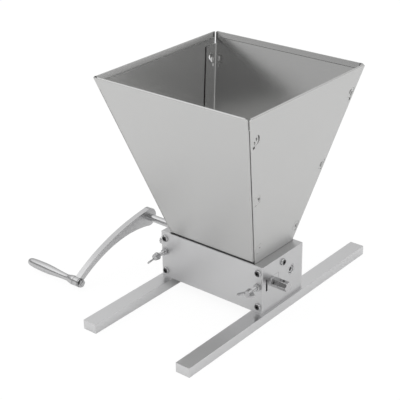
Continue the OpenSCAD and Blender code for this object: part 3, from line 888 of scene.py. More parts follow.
@dataclass
class Hopper:
    """Four folded sheets that form the square funnel, with tongues at the corners."""

    bend_z: float = 78.5
    rise: float = 217.8
    half_top: float = 114.3
    reach_x: float = 67.0
    reach_y: float = 40.2
    hem_h: float = 7.0
    hem_depth: float = 2.4
    hem_stand: float = 0.15
    outer_bend: float = 1.0
    inner_bend: float = 0.4
    hem_curl: float = 0.5
    hem_stop: float = 5.0
    wall_foot: float = 0.8
    side_stop: float = 1.4
    skirt_foot: float = 63.0
    skirt_play: float = 0.3
    skirt_edge: float = 3.0
    skirt_bend: float = 1.5
    flange_gap: float = 0.95
    flange_inset: float = 20.0
    corner_slit: float = 15.0
    slit_relief: float = 1.0
    bend_radius: float = 2.2
    corner_round: float = 3.4
    tongue_in: float = 4.6
    tongue_len: float = 9.5
    tongue_h: float = 12.5
    tongue_neck: float = 1.2
    tongue_root: float = 2.05
    tongue_top: float = 0.08
    tongue_shares: tuple[float, ...] = (0.09, 0.45, 0.85)
    tongue_tilt: tuple[float, ...] = (0.0, -1.5, -4.0)
    tip_gap: tuple[float, ...] = (0.0, 0.0, 1.8)
    window_more: float = 2.2
    front_slits: tuple[tuple[Slit, ...], ...] = (
        (Slit(6.2, -1.5, 1.5, 1.8),), (Slit(7.2, -4.6, 2.8, 3.6),),
        (Slit(2.9, -4.9, 0.8, 2.4), Slit(6.6, -2.2, 4.0, 2.6)))
    rear_slits: tuple[tuple[Slit, ...], ...] = (
        (Slit(4.6, -2.8, 3.0, 2.8),), (Slit(5.2, -4.0, 3.8, 4.4),),
        (Slit(3.2, -4.8, 1.8, 2.6), Slit(7.0, -2.2, 4.4, 2.8)))
    slot_start: float = -0.25
    slot_w: float = 3.25
    slot_fit: float = 0.15
    slot_drop: tuple[float, ...] = (0.8, 0.8, 3.75)
    screw_z: float = 67.5
    screw_len: float = 18.5
    screw_play: float = 0.25
    screw_turn: float = 15.0

    def __post_init__(self) -> None:
        """Works out the walls' slopes and how far the rim's corners stand back from the flanges."""
        self.slope_x = math.atan2(self.half_top - self.reach_x, self.rise)
        self.slope_y = math.atan2(self.half_top - self.reach_y, self.rise)
        self.lean = math.atan(math.cos(self.slope_x) * math.tan(self.slope_y))
        self.stand_back = self.slit_relief - self.flange_gap

    def half_x(self, height: float) -> float:
        """Returns half the hopper's outer width from left to right at a height over the bend."""
        return self.reach_x + height * math.tan(self.slope_x)

    def half_y(self, height: float) -> float:
        """Returns half the hopper's outer width from front to rear at a height over the bend."""
        return self.reach_y + height * math.tan(self.slope_y)

    def flange_x(self, height: float) -> float:
        """Returns half the width to the flanges' outer faces at a height over the bend."""
        return self.half_x(height) - (SHEET_T + self.flange_gap) / math.cos(self.slope_x)

    def wall_frame(self, side: int) -> Matrix:
        """Returns the matrix from a drawing on a side wall's outer face to the mill.

        Args:
            side: Minus one for the left wall and one for the right wall.

        Returns:
            The matrix. The drawing's X runs along the wall, Y up the slope and Z outwards.
        """
        turn = Matrix.Rotation(side * QUARTER, 4, "Z")
        shift = Matrix.Translation((0, -self.reach_x, self.bend_z))
        return turn @ shift @ Matrix.Rotation(QUARTER + self.slope_x, 4, "X")

    def tongue_frames(self, side: int, end: int) -> list[Matrix]:
        """Returns the frames of the tongues at one end of a side wall.

        Args:
            side: Minus one for the left wall and one for the right wall.
            end: Minus one for the left end of the wall's drawing and one for its right end.

        Returns:
            The matrices from a drawing of each tongue to the mill, from the lowest tongue up.
        """
        frames = []
        for share in self.tongue_shares:
            v = share * self.rise / math.cos(self.slope_x)
            half = self.half_y(v * math.cos(self.slope_x))
            spot = Matrix.Translation((end * (half - self.tongue_in / math.cos(self.lean)), v, 0))
            lean = Matrix.Rotation(-end * self.lean, 4, "Z")
            flip = Matrix.Scale(-1, 4, (1, 0, 0)) if end > 0 else Matrix()
            frames.append(self.wall_frame(side) @ spot @ lean @ flip)
        return frames

    def hem(self, slope: float, outwards: Vector, top: float,
            foot: float) -> list[tuple[float, float, Vector]]:
        """Returns the rows of the folded hem past the straight wall.

        Args:
            slope: Slope of the wall.
            outwards: The wall's level direction outwards.
            top: Half the hem's length at the rim.
            foot: Half the hem's length at its lower edge.

        Returns:
            Half the length, the height over the bend line and the offset from there of each row.
        """
        inwards = Vector((0, 0, math.sin(slope))) - outwards * math.cos(slope)
        up = outwards * math.sin(slope) + Vector((0, 0, math.cos(slope)))
        base = self.rise - self.outer_bend * math.cos(slope)
        rows = []
        for radius, centre, start in ((self.outer_bend, self.outer_bend, 0),
                                      (self.inner_bend, self.hem_depth - self.inner_bend, 1)):
            for share in stations(start, start + 1, 3):
                turn = QUARTER * share
                rise = self.outer_bend - radius + radius * math.sin(turn)
                rows.append((top, base, inwards * (centre - radius * math.cos(turn)) + up * rise))
        edge = inwards * (self.hem_depth + self.hem_stand) - up * (self.hem_h - self.outer_bend)
        curl = (up + inwards) * -self.hem_curl
        return rows[1:] + [(foot, base, edge), (foot, base, edge + curl)]

    def end_face(self) -> Shape:
        """Builds the outer face of the front wall with its corner flanges and its hem.

        Returns:
            The open face.
        """
        edge, relief, radius, cut_end = self.flange_x, self.stand_back, self.bend_radius, 0.01
        shape = Shape()

        def at(x: float, height: float, offset: Vector = Vector()) -> bmesh.types.BMVert:
            """Adds a point of the outer face at a height over the bend line."""
            spot = Vector((x, -self.half_y(height), self.bend_z + height))
            return shape.mesh.verts.new(spot + offset)

        low = 2 * SHEET_T * math.cos(self.slope_x)
        high = self.rise - self.corner_slit * math.cos(self.slope_x)
        base = self.rise - self.outer_bend * math.cos(self.slope_y)
        core = []
        for height in (self.wall_foot, low, high, base):
            half = edge(height)
            stop = half - self.hem_stop
            core.append([at(x, height) for x in (-half + radius, -stop, stop, half - radius)])
        for near, far in zip(core, core[1:]):
            shape.quads(near, far)
        for side, place in ((-1, 0), (1, 3)):
            foot, lower, upper, top = (row[place] for row in core)
            tips = [at(side * edge(h), h) for h in (self.wall_foot, low - cut_end)]
            shape.quads((tips[0], foot)[::-side], (tips[1], lower)[::-side])
            tips = [at(side * (edge(h) - relief), h) for h in (high + cut_end, base)]
            shape.quads((tips[0], upper)[::-side], (tips[1], top)[::-side])
            crown = [at(side * (edge(self.rise) - back), self.rise)
                     for back in (relief, radius, self.hem_stop)]
            shape.quads((tips[1], top, core[3][1 if side < 0 else 2]), crown, flip=side > 0)
            folds = []
            for height, first in ((low, lower), (high, upper)):
                half = edge(height)
                fold = [first]
                for swing in stations(0, QUARTER, 6)[1:]:
                    back = Vector((0, radius * (1 - math.cos(swing)), 0))
                    fold.append(at(side * (half - radius + radius * math.sin(swing)), height, back))
                for depth in (radius + 0.5, self.flange_inset):
                    fold.append(at(side * half, height, Vector((0, depth, 0))))
                folds.append(fold)
            shape.quads(*folds, flip=side < 0)
        near = core[3][1:3]
        hem_foot = edge(self.rise - self.hem_h * math.cos(self.slope_y)) - self.hem_stop
        hem_top = edge(self.rise) - self.hem_stop
        for half, height, offset in self.hem(self.slope_y, Vector((0, -1, 0)), hem_top, hem_foot):
            far = [at(-half, height, offset), at(half, height, offset)]
            shape.quads(near, far)
            near = far
        return shape

    def end_wall(self, turn: int) -> bpy.types.Object:
        """Builds the front or rear wall with its windows, rounded corners and tongues.

        Args:
            turn: Minus one for the front wall and one for the rear wall.

        Returns:
            The wall in millimetres.
        """
        piece = self.end_face().to_sheet("end_wall")
        windows = Shape()
        inner = -SHEET_T - self.flange_gap
        for side in SIDES:
            for i, frame in enumerate(self.tongue_frames(side, -side)):
                windows.prism(self.window_outline(i, turn < 0), inner - 2 * SHEET_T, inner + 0.5, frame)
        foot = Matrix.Translation((0, -self.reach_y, self.bend_z))
        face = foot @ Matrix.Rotation(QUARTER + self.slope_y, 4, "X")
        for end in SIDES:
            self.round_corner(windows, face, end, self.flange_x(self.rise) - self.stand_back, self.slope_y)
        cut(piece, windows)
        join_objects(piece, self.tongues(turn < 0))
        if turn > 0:
            piece.data.transform(Matrix.Rotation(math.pi, 4, "Z"))
        return piece

    def round_corner(self, cutter: Shape, face: Matrix, end: int, half: float, slope: float) -> None:
        """Adds to a cutter what is cut away to round a sheet's upper corner.

        Args:
            cutter: The cutter.
            face: Matrix from a drawing on the sheet's outer face to the mill.
            end: Minus one for the drawing's left corner and one for its right corner.
            half: Half the sheet's width at its upper edge.
            slope: Slope of the sheet.
        """
        r, over, top = self.corner_round, 2, self.rise / math.cos(slope)
        outline = [(end * (half + over), top + over), (end * (half + over), top - r)]
        outline += [(end * (half - r + r * math.cos(turn)), top - r + r * math.sin(turn))
                    for turn in stations(0, QUARTER, 6)]
        cutter.prism(outline + [(end * (half - r), top + over)], -3 * SHEET_T, SHEET_T, face)

    def tongue_arc(self, reach: float, rise: float, limit: float,
                   steps: int) -> list[tuple[float, float, float]]:
        """Returns the round end of an opening round a tongue.

        Args:
            reach: Radius of the end.
            rise: Half the opening's height.
            limit: Farthest place from the fold.
            steps: Steps along the arc.

        Returns:
            Both coordinates and the angle of each point.
        """
        centre = self.tongue_len - self.tongue_h / 2
        start = math.asin(rise / reach)
        return [(min(limit, centre + reach * math.cos(turn)), reach * math.sin(turn), turn)
                for turn in stations(-start, start, steps)]

    def window_outline(self, i: int, front: bool) -> Outline:
        """Returns the outline of the window that a tongue leaves in its flange, with the slot below it.

        Args:
            i: The tongue's place, from the lowest up.
            front: Whether the flange belongs to the front wall.

        Returns:
            The outline's points.
        """
        half, neck = self.tongue_h / 2, self.tongue_neck
        left, right, foot = self.slot_start, self.slot_start + self.slot_w, -half - self.slot_drop[i]
        more = self.window_more if front and i > 0 else 0.0
        arc = self.tongue_arc(half + neck, half, self.tongue_len, 10)
        outline = [(left, foot), (right, foot), (right, -half)]
        outline += [(neck + (x + more), y) for x, y, _ in arc]
        return outline + [(neck, half), (neck, -half), (left, -half)]

    def slot_outline(self, i: int, front: bool) -> Outline:
        """Returns the outline of a side wall's slot round a tongue.

        Args:
            i: The tongue's place, from the lowest up.
            front: Whether it lies at the front end of the wall.

        Returns:
            The outline's points.
        """
        half, fit = self.tongue_h / 2, self.slot_fit
        left, right, foot = self.slot_start, self.slot_start + self.slot_w, -half - self.slot_drop[i]
        high, gap = half + fit, self.tip_gap[i] if front else 0.0
        arc = self.tongue_arc(half + self.tongue_neck + fit, high, self.tongue_len + fit, 16)
        outline = [(left, foot), (right, foot), (right, -high)]
        outline += [(x + gap * math.cos(turn) ** 2, y) for x, y, turn in arc]
        return outline + [(left, high)]

    def tongues(self, front: bool) -> bpy.types.Object:
        """Builds the six tongues of a front or rear wall, folded over into the side walls.

        Args:
            front: Whether they belong to the front wall.

        Returns:
            The tongues in millimetres, drawn as the front wall's.
        """
        shape, openings = Shape(), Shape()
        half, radius, top = self.tongue_h / 2, self.tongue_neck, self.tongue_top
        reach, centre, bend = half + radius, self.tongue_len - half, top - radius
        path = [(0.0, -self.tongue_root), (0.0, bend)]
        path += [(radius - radius * math.cos(turn), bend + radius * math.sin(turn))
                 for turn in stations(0, QUARTER, 4)[1:]]
        path += [(radius + (self.tongue_len - radius) * share, top)
                 for share in (0.3, 0.55, 0.75, 0.88, 0.96, 1.0)]
        for side in SIDES:
            for frame, tilt in zip(self.tongue_frames(side, -side), self.tongue_tilt):
                rows = []
                for x, z in path:
                    width = min(half, math.sqrt(max(0.0, reach * reach - max(0.0, x - centre) ** 2)))
                    rise = max(0.0, x - radius) * math.tan(math.radians(tilt))
                    rows.append([shape.mesh.verts.new(frame @ Vector((x, width * share, z + rise)))
                                 for share in stations(-1, 1, 4)])
                for near, far in zip(rows, rows[1:]):
                    shape.quads(near, far, flip=side > 0)
            slits = self.front_slits if front else self.rear_slits
            for frame, group in zip(self.tongue_frames(side, -side), slits):
                for slit in group:
                    openings.prism(slit.outline(), -2.4 * SHEET_T, SHEET_T, frame)
        piece = shape.to_sheet("tongues")
        cut(piece, openings)
        return piece

    def side_places(self, height: float) -> tuple[float, ...]:
        """Returns the ends of a side wall and of its hem along the wall at a height over the bend."""
        half = self.half_y(height)
        return (self.side_stop - half, self.hem_stop - half, half - self.hem_stop, half - self.side_stop)

    def side_face(self, side: int) -> Shape:
        """Builds the outer face of the left or right wall with its skirt and its hem.

        Args:
            side: Minus one for the left wall and one for the right wall.

        Returns:
            The open face.
        """
        shape = Shape()
        slope, bend = self.slope_x, self.skirt_bend

        def row(x: float, z: float, places: Sequence[float], offset: Vector = Vector()) -> list:
            """Adds a row of points of the outer face at places along the wall."""
            return [shape.mesh.verts.new(Vector((side * x, y * -side, z)) + offset) for y in places]

        def over_bend(height: float, places: Sequence[float], offset: Vector = Vector()) -> list:
            """Adds a row of points of the sloping face at a height over the bend line."""
            return row(self.half_x(height), self.bend_z + height, places, offset)

        def join(low: list, high: list) -> None:
            """Joins two rows of points by faces."""
            for i in range(len(low) - 1):
                shape.mesh.faces.new((low[i], high[i], high[i + 1], low[i + 1]))

        skirt = self.reach_y - SHEET_T - self.skirt_play
        narrow = (-skirt, self.skirt_edge - skirt, skirt - self.skirt_edge, skirt)
        rows = [row(self.reach_x, z, narrow) for z in (self.skirt_foot, self.bend_z - bend)]
        for share in stations(0, 1, 5)[1:5]:
            along = (1 - share) ** 2 * -bend + share ** 2 * bend
            out = share ** 2 * bend * math.tan(slope)
            places = narrow if share < 0.5 else self.side_places(0.5)
            rows.append(row(self.reach_x + out, self.bend_z + along, places))
        hem_base = self.rise - self.outer_bend * math.cos(slope)
        rows += [over_bend(height, self.side_places(height)) for height in (bend, hem_base)]
        for near, far in zip(rows, rows[1:]):
            join(near, far)
        rim, base = self.side_places(self.rise), rows[-1]
        join(base[:2], over_bend(self.rise, rim[:2]))
        join(base[2:], over_bend(self.rise, rim[2:]))
        near = base[1:3]
        hem_foot = self.half_y(self.rise - self.hem_h * math.cos(slope)) - self.hem_stop
        for half, height, offset in self.hem(slope, Vector((side, 0, 0)), rim[2], hem_foot):
            far = over_bend(height, (-half, half), offset)
            join(near, far)
            near = far
        return shape

    def side_wall(self, side: int) -> bpy.types.Object:
        """Builds the left or right wall with its slots, rounded corners and screw hole.

        Args:
            side: Minus one for the left wall and one for the right wall.

        Returns:
            The wall in millimetres.
        """
        piece = self.side_face(side).to_sheet("side_wall")
        half = self.side_places(self.rise)[-1]
        slots = Shape()
        for end in SIDES:
            for i, frame in enumerate(self.tongue_frames(side, end)):
                slots.prism(self.slot_outline(i, end * side < 0), -2 * SHEET_T, SHEET_T, frame)
            self.round_corner(slots, self.wall_frame(side), end, half, self.slope_x)
        hole = SCREW_DIA / 2 + self.screw_play
        axis = Axis.RIGHT if side > 0 else Axis.LEFT
        slots.lathe([(hole, -2.0), (hole, 2.0)], axis.frame((side * self.reach_x, 0, self.screw_z)), 32)
        cut(piece, slots)
        return piece

    @staticmethod
    def mark_inner(wall: bpy.types.Object) -> bpy.types.Object:
        """Marks the wall's faces that look into the funnel, which keep a higher gloss.

        Args:
            wall: The wall.

        Returns:
            The same wall.
        """
        mark = wall.data.attributes.new(INNER_FACE, "FLOAT", "FACE")
        mark.data.foreach_set("value", [float(face.normal.z > INNER_RISE) for face in wall.data.polygons])
        return wall

    def build(self, fitter: Fitter) -> None:
        """Builds the four walls, their screws and nuts.

        Args:
            fitter: Finishes and places the pieces.
        """
        for names, make in ((FACE_NAMES, self.end_wall), (SIDE_NAMES, self.side_wall)):
            for side, name in names:
                wall = self.mark_inner(make(side))
                fitter.place(wall, f"folded_{name}_wall", "mill_frame", Slot.HOPPER, f"hopper_{name}_wall")
        spots = [((s * BOX_HALF_X, 0, self.screw_z), (s, 0, 0), self.screw_turn) for s in SIDES]
        fitter.fasten(button_screw(self.screw_len / HEAD_H), spots, HEAD_DIA, HEAD_H,
                      "hopper_button_screws", "mill_frame", "hopper_screws")
        spots = [((s * (self.reach_x - SHEET_T), 0, self.screw_z), (-s, 0, 0), 0.0) for s in SIDES]
        fitter.fasten(hex_nut(), spots, NUT_FLATS, NUT_H, "hopper_hex_nuts", "mill_frame", "hopper_nuts")


@dataclass
class RollerBox:
    """End plates, covers, foot bars, bushes and the fasteners that hold them."""

    plate_rounding: float = 0.28
    cover_rounding: float = 0.25
    foot_rounding: float = 0.45
    cover_screw_heights: tuple[float, float] = (21.5, 68.0)
    cover_screw_len: float = 12.0
    cover_screw_turns: tuple[float, ...] = (20.0, 54.0, 88.0, 122.0)
    foot_screw_y: float = 22.0
    foot_screw_dia: float = 10.0
    foot_screw_len: float = 25.0
    washer_dia: float = 10.5
    washer_t: float = 1.0
    washer_bore: float = 0.262
    bush_dia: float = 14.0
    shaft_dia: float = 10.1

    def build(self, fitter: Fitter) -> None:
        """Builds every piece of the box.

        Args:
            fitter: Finishes and places the pieces.
        """
        for kind, names, slot, width in (("end_plate", SIDE_NAMES, Slot.PLATE, self.plate_rounding),
                                         ("cover", FACE_NAMES, Slot.COVER, self.cover_rounding),
                                         ("foot_bar", SIDE_NAMES, Slot.FOOT, self.foot_rounding)):
            for _, name in names:
                node = f"{name}_{kind}"
                fitter.place(fitter.soften(node, width), f"rounded_{node}", "mill_frame", slot, node)
        for side, name in SIDE_NAMES:
            self.bush(fitter, side, name)
        self.screws(fitter)
        self.lock_nuts(fitter)

    def bush(self, fitter: Fitter, side: int, name: str) -> None:
        """Builds one turned bush with chamfered rims.

        Args:
            fitter: Finishes and places the pieces.
            side: Minus one for the left bush and one for the right bush.
            name: The bush's side in words.
        """
        outer, inner, long = self.bush_dia / 2, self.shaft_dia / 2, 2 * PLATE_HALF_T
        profile = ((inner + 0.5, 0.0), (outer - 0.3, 0.0), (outer, 0.3), (outer, long - 0.3),
                   (outer - 0.3, long), (inner + 0.5, long), (inner, long - 0.5), (inner, 0.5))
        frame = Axis.RIGHT.frame((side * PLATE_X - PLATE_HALF_T, REAR_Y, AXIS_Z))
        bush = Shape().lathe(profile, frame, loop=True).to_object("bush")
        fitter.place(bush, f"turned_{name}_bush", "mill_frame", Slot.SHAFT, f"{name}_bush")

    def screws(self, fitter: Fitter) -> None:
        """Builds the cover screws and foot screws, each cover screw with a turn of its own.

        Args:
            fitter: Finishes and places the pieces.
        """
        for face, name in FACE_NAMES:
            places = [(side, z) for side in SIDES for z in self.cover_screw_heights]
            spots = [((side * PLATE_X, face * BOX_HALF_Y, z), (0, face, 0), turn)
                     for (side, z), turn in zip(places, self.cover_screw_turns)]
            fitter.fasten(button_screw(self.cover_screw_len / HEAD_H), spots, HEAD_DIA, HEAD_H,
                          f"{name}_button_screws", "mill_frame", f"{name}_cover_screws")
        spots = [((side * PLATE_X, end * self.foot_screw_y, 0.0), (0, 0, 1), 11.0)
                 for side in SIDES for end in SIDES]
        fitter.fasten(sunk_screw(), spots, self.foot_screw_dia, self.foot_screw_len,
                      "sunk_foot_screws", "mill_frame", "foot_screws")

    def lock_nuts(self, fitter: Fitter) -> None:
        """Builds the wing bolts' lock washers and lock nuts on the front cover.

        Args:
            fitter: Finishes and places the pieces.
        """
        front = (0, -1, 0)
        spots = [((side * PLATE_X, -BOX_HALF_Y, AXIS_Z), front, 0.0) for side in SIDES]
        fitter.fasten(flat_washer(self.washer_bore), spots, self.washer_dia, self.washer_t,
                      "flat_lock_washers", "mill_frame", "lock_washers")
        nut_y = -BOX_HALF_Y - self.washer_t
        spots = [((side * PLATE_X, nut_y, AXIS_Z), front, 8.0 + 22.0 * side) for side in SIDES]
        fitter.fasten(hex_nut(), spots, NUT_FLATS, NUT_H, "hex_lock_nuts", "mill_frame", "lock_nuts")


@dataclass
class FrontCarriage:
    """Bearing blocks and the wing bolts that push them."""

    block_front_y: float = -31.2
    block_rounding: float = 0.12
    shank_len: float = 26.0
    shank_depth: float = 1.0
    hub_dia: float = 10.0
    hub_top_dia: float = 8.0
    hub_len: float = 7.0
    wing_reach: float = 13.0
    wing_rise: float = 12.5
    wing_t: float = 2.0
    wing_round: float = 0.27
    wing_rounding: float = 0.55
    pitch: float = 0.8
    thread_depth: float = 0.42
    angles: tuple[float, float] = (49.0, 14.0)

    def build(self, fitter: Fitter) -> None:
        """Builds both blocks and both wing bolts.

        Args:
            fitter: Finishes and places the pieces.
        """
        for (side, name), angle in zip(SIDE_NAMES, self.angles):
            block = fitter.soften(f"{name}_bearing_block", self.block_rounding)
            fitter.place(block, f"rounded_{name}_block", "carriage", Slot.PLATE, f"{name}_bearing_block")
            self.wing_bolt(fitter, side, name, angle)

    def wing_outline(self) -> Outline:
        """Returns one wing's outline in the plane of the bolt's axis.

        Returns:
            The outline's points, with X away from the axis and Y along it.
        """
        tip = self.wing_round * self.wing_reach
        x, y = self.wing_reach - tip, self.wing_rise - tip
        root, top = 0.5, self.hub_top_dia / 2
        outline = [(root, 0.4), (self.hub_dia / 2 - 0.6, 0.2)]
        outline += [(x + tip * math.cos(turn), y + tip * math.sin(turn))
                    for turn in stations(-math.radians(37), math.radians(143), 12)]
        inner = self.hub_len - 0.6
        return outline + [(top + 1.6, self.hub_len + 0.4), (top + 0.3, inner), (root, inner)]

    def wing_bolt(self, fitter: Fitter, side: int, name: str, angle: float) -> None:
        """Builds one wing bolt as a cast head and a threaded shank.

        Args:
            fitter: Finishes and places the pieces.
            side: Minus one for the left bolt and one for the right bolt.
            name: The bolt's side in words.
            angle: Turn of the wings in degrees.
        """
        base = Matrix.Translation((side * PLATE_X, self.block_front_y, AXIS_Z))
        turned = base @ Matrix.Rotation(QUARTER, 4, "X") @ Matrix.Rotation(math.radians(angle), 4, "Z")
        head = turned @ Matrix.Translation((0, 0, self.shank_len))
        wings = Shape()
        for half in (0, math.pi):
            plane = head @ Matrix.Rotation(half, 4, "Z") @ Matrix.Rotation(QUARTER, 4, "X")
            wings.prism(self.wing_outline(), -self.wing_t / 2, self.wing_t / 2, plane)
        piece = wings.to_object("wings")
        round_edges(piece, self.wing_rounding, 3)
        low, high, long = self.hub_dia / 2, self.hub_top_dia / 2, self.hub_len
        hub = Shape().lathe(((low - 0.6, 0.0), (low - 0.15, 0.15), (low, 0.7), (high + 0.12, long - 0.9),
                             (high - 0.2, long - 0.3), (high - 0.8, long), (1.2, long)), head, 48)
        join_objects(piece, hub.to_object("hub"))
        fitter.place(piece, f"cast_{name}_wing_head", f"{name}_wing", Slot.FASTENER, f"{name}_wing_bolt")
        shank = fitter.rod(Slot.FASTENER, {
            "Radius": SCREW_DIA / 2, "Length": self.shank_len + self.shank_depth, "Depth": self.thread_depth,
            "Pitch": self.pitch, "Diamonds": 0.0, "Around": 28, "Along": 270})
        close_ends(shank)
        shank.data.transform(turned)
        fitter.place(shank, f"threaded_{name}_shank", f"{name}_wing", Slot.FASTENER)


@dataclass
class RollerSet:
    """One knurled roller with its washers."""

    name: str
    body: str
    y: float
    bore: float
    roller_dia: float = 37.0
    roller_len: float = 130.0
    bevel: float = 1.0
    knurl_depth: float = 0.55
    around: int = 124
    along: int = 136
    washer_dia: float = 17.0
    washer_t: float = 2.0

    def build(self, fitter: Fitter) -> None:
        """Builds the roller and its washers.

        Args:
            fitter: Finishes and places the pieces.
        """
        self.roller(fitter)
        spots = [((side * self.roller_len / 2, self.y, AXIS_Z), (side, 0, 0), 0.0) for side in SIDES]
        fitter.fasten(flat_washer(self.bore / 2 / self.washer_dia), spots, self.washer_dia, self.washer_t,
                      f"{self.name}_flat_washers", self.body, f"{self.name}_washers")

    def roller(self, fitter: Fitter) -> None:
        """Builds the roller with a diamond knurl and turned ends.

        Uneven quads are split along their shorter diagonal, so that the knurl's grooves run straight.

        Args:
            fitter: Finishes and places the roller.
        """
        radius, half, hole = self.roller_dia / 2, self.roller_len / 2, self.bore / 2
        barrel = fitter.rod(Slot.ROLLER, {
            "Radius": radius, "Length": self.roller_len - 2 * self.bevel, "Depth": self.knurl_depth,
            "Pitch": 1.0, "Diamonds": 1.0, "Around": self.around, "Along": self.along})
        barrel.data.transform(Axis.RIGHT.frame((self.bevel - half, self.y, AXIS_Z)))
        profile = ((radius - self.knurl_depth, half - self.bevel), (radius - self.bevel, half),
                   (hole, half), (hole, 0.0))
        ends = Shape()
        for axis in Axis:
            ends.lathe(profile, axis.frame((0, self.y, AXIS_Z)), self.around, caps=False)
        join_objects(barrel, ends.to_object("ends"))
        with opened(barrel) as mesh:
            bmesh.ops.remove_doubles(mesh, verts=mesh.verts, dist=0.01)
            uneven = [face for face in mesh.faces if len(face.verts) == 4]
            bmesh.ops.triangulate(mesh, faces=uneven, quad_method="SHORT_EDGE")
            bmesh.ops.recalc_face_normals(mesh, faces=mesh.faces)
        fitter.place(barrel, f"knurled_{self.name}_roller", self.body, Slot.ROLLER, f"{self.name}_roller")


@dataclass
class FrontShaft:
    """Front shaft with a plain left end and a hexagon drive stub on the right."""

    dia: float = 12.0
    plain_len: float = 19.5
    stub_len: float = 23.0
    stub_gap: float = 0.3
    flats: float = 11.0

    def build(self, fitter: Fitter) -> None:
        """Builds the shaft.

        Args:
            fitter: Finishes and places the pieces.
        """
        r, flats, left = self.dia / 2, self.flats, BOX_HALF_X + self.plain_len
        low = left + BOX_HALF_X
        high, tip = low + self.stub_gap, low + self.stub_len
        plain = ((r - 3.2, 0.4), (r - 1.0, 0.0), (r, 1.0), (r, low), (r, high + 0.4))
        stub = ((flats, high + 0.9, r), (flats, high + 0.91, UNCUT), (flats, tip - 1.1, UNCUT),
                (flats, tip - 0.55, r - 0.15), (r - 0.75, tip - 0.05), (r - 1.0, tip), (1.2, tip))
        shaft = Shape().lathe(plain + stub, Axis.RIGHT.frame((-left, FRONT_Y, AXIS_Z))).to_object("shaft")
        fitter.place(shaft, "turned_front_shaft", "front_roller_set", Slot.SHAFT, "front_shaft")


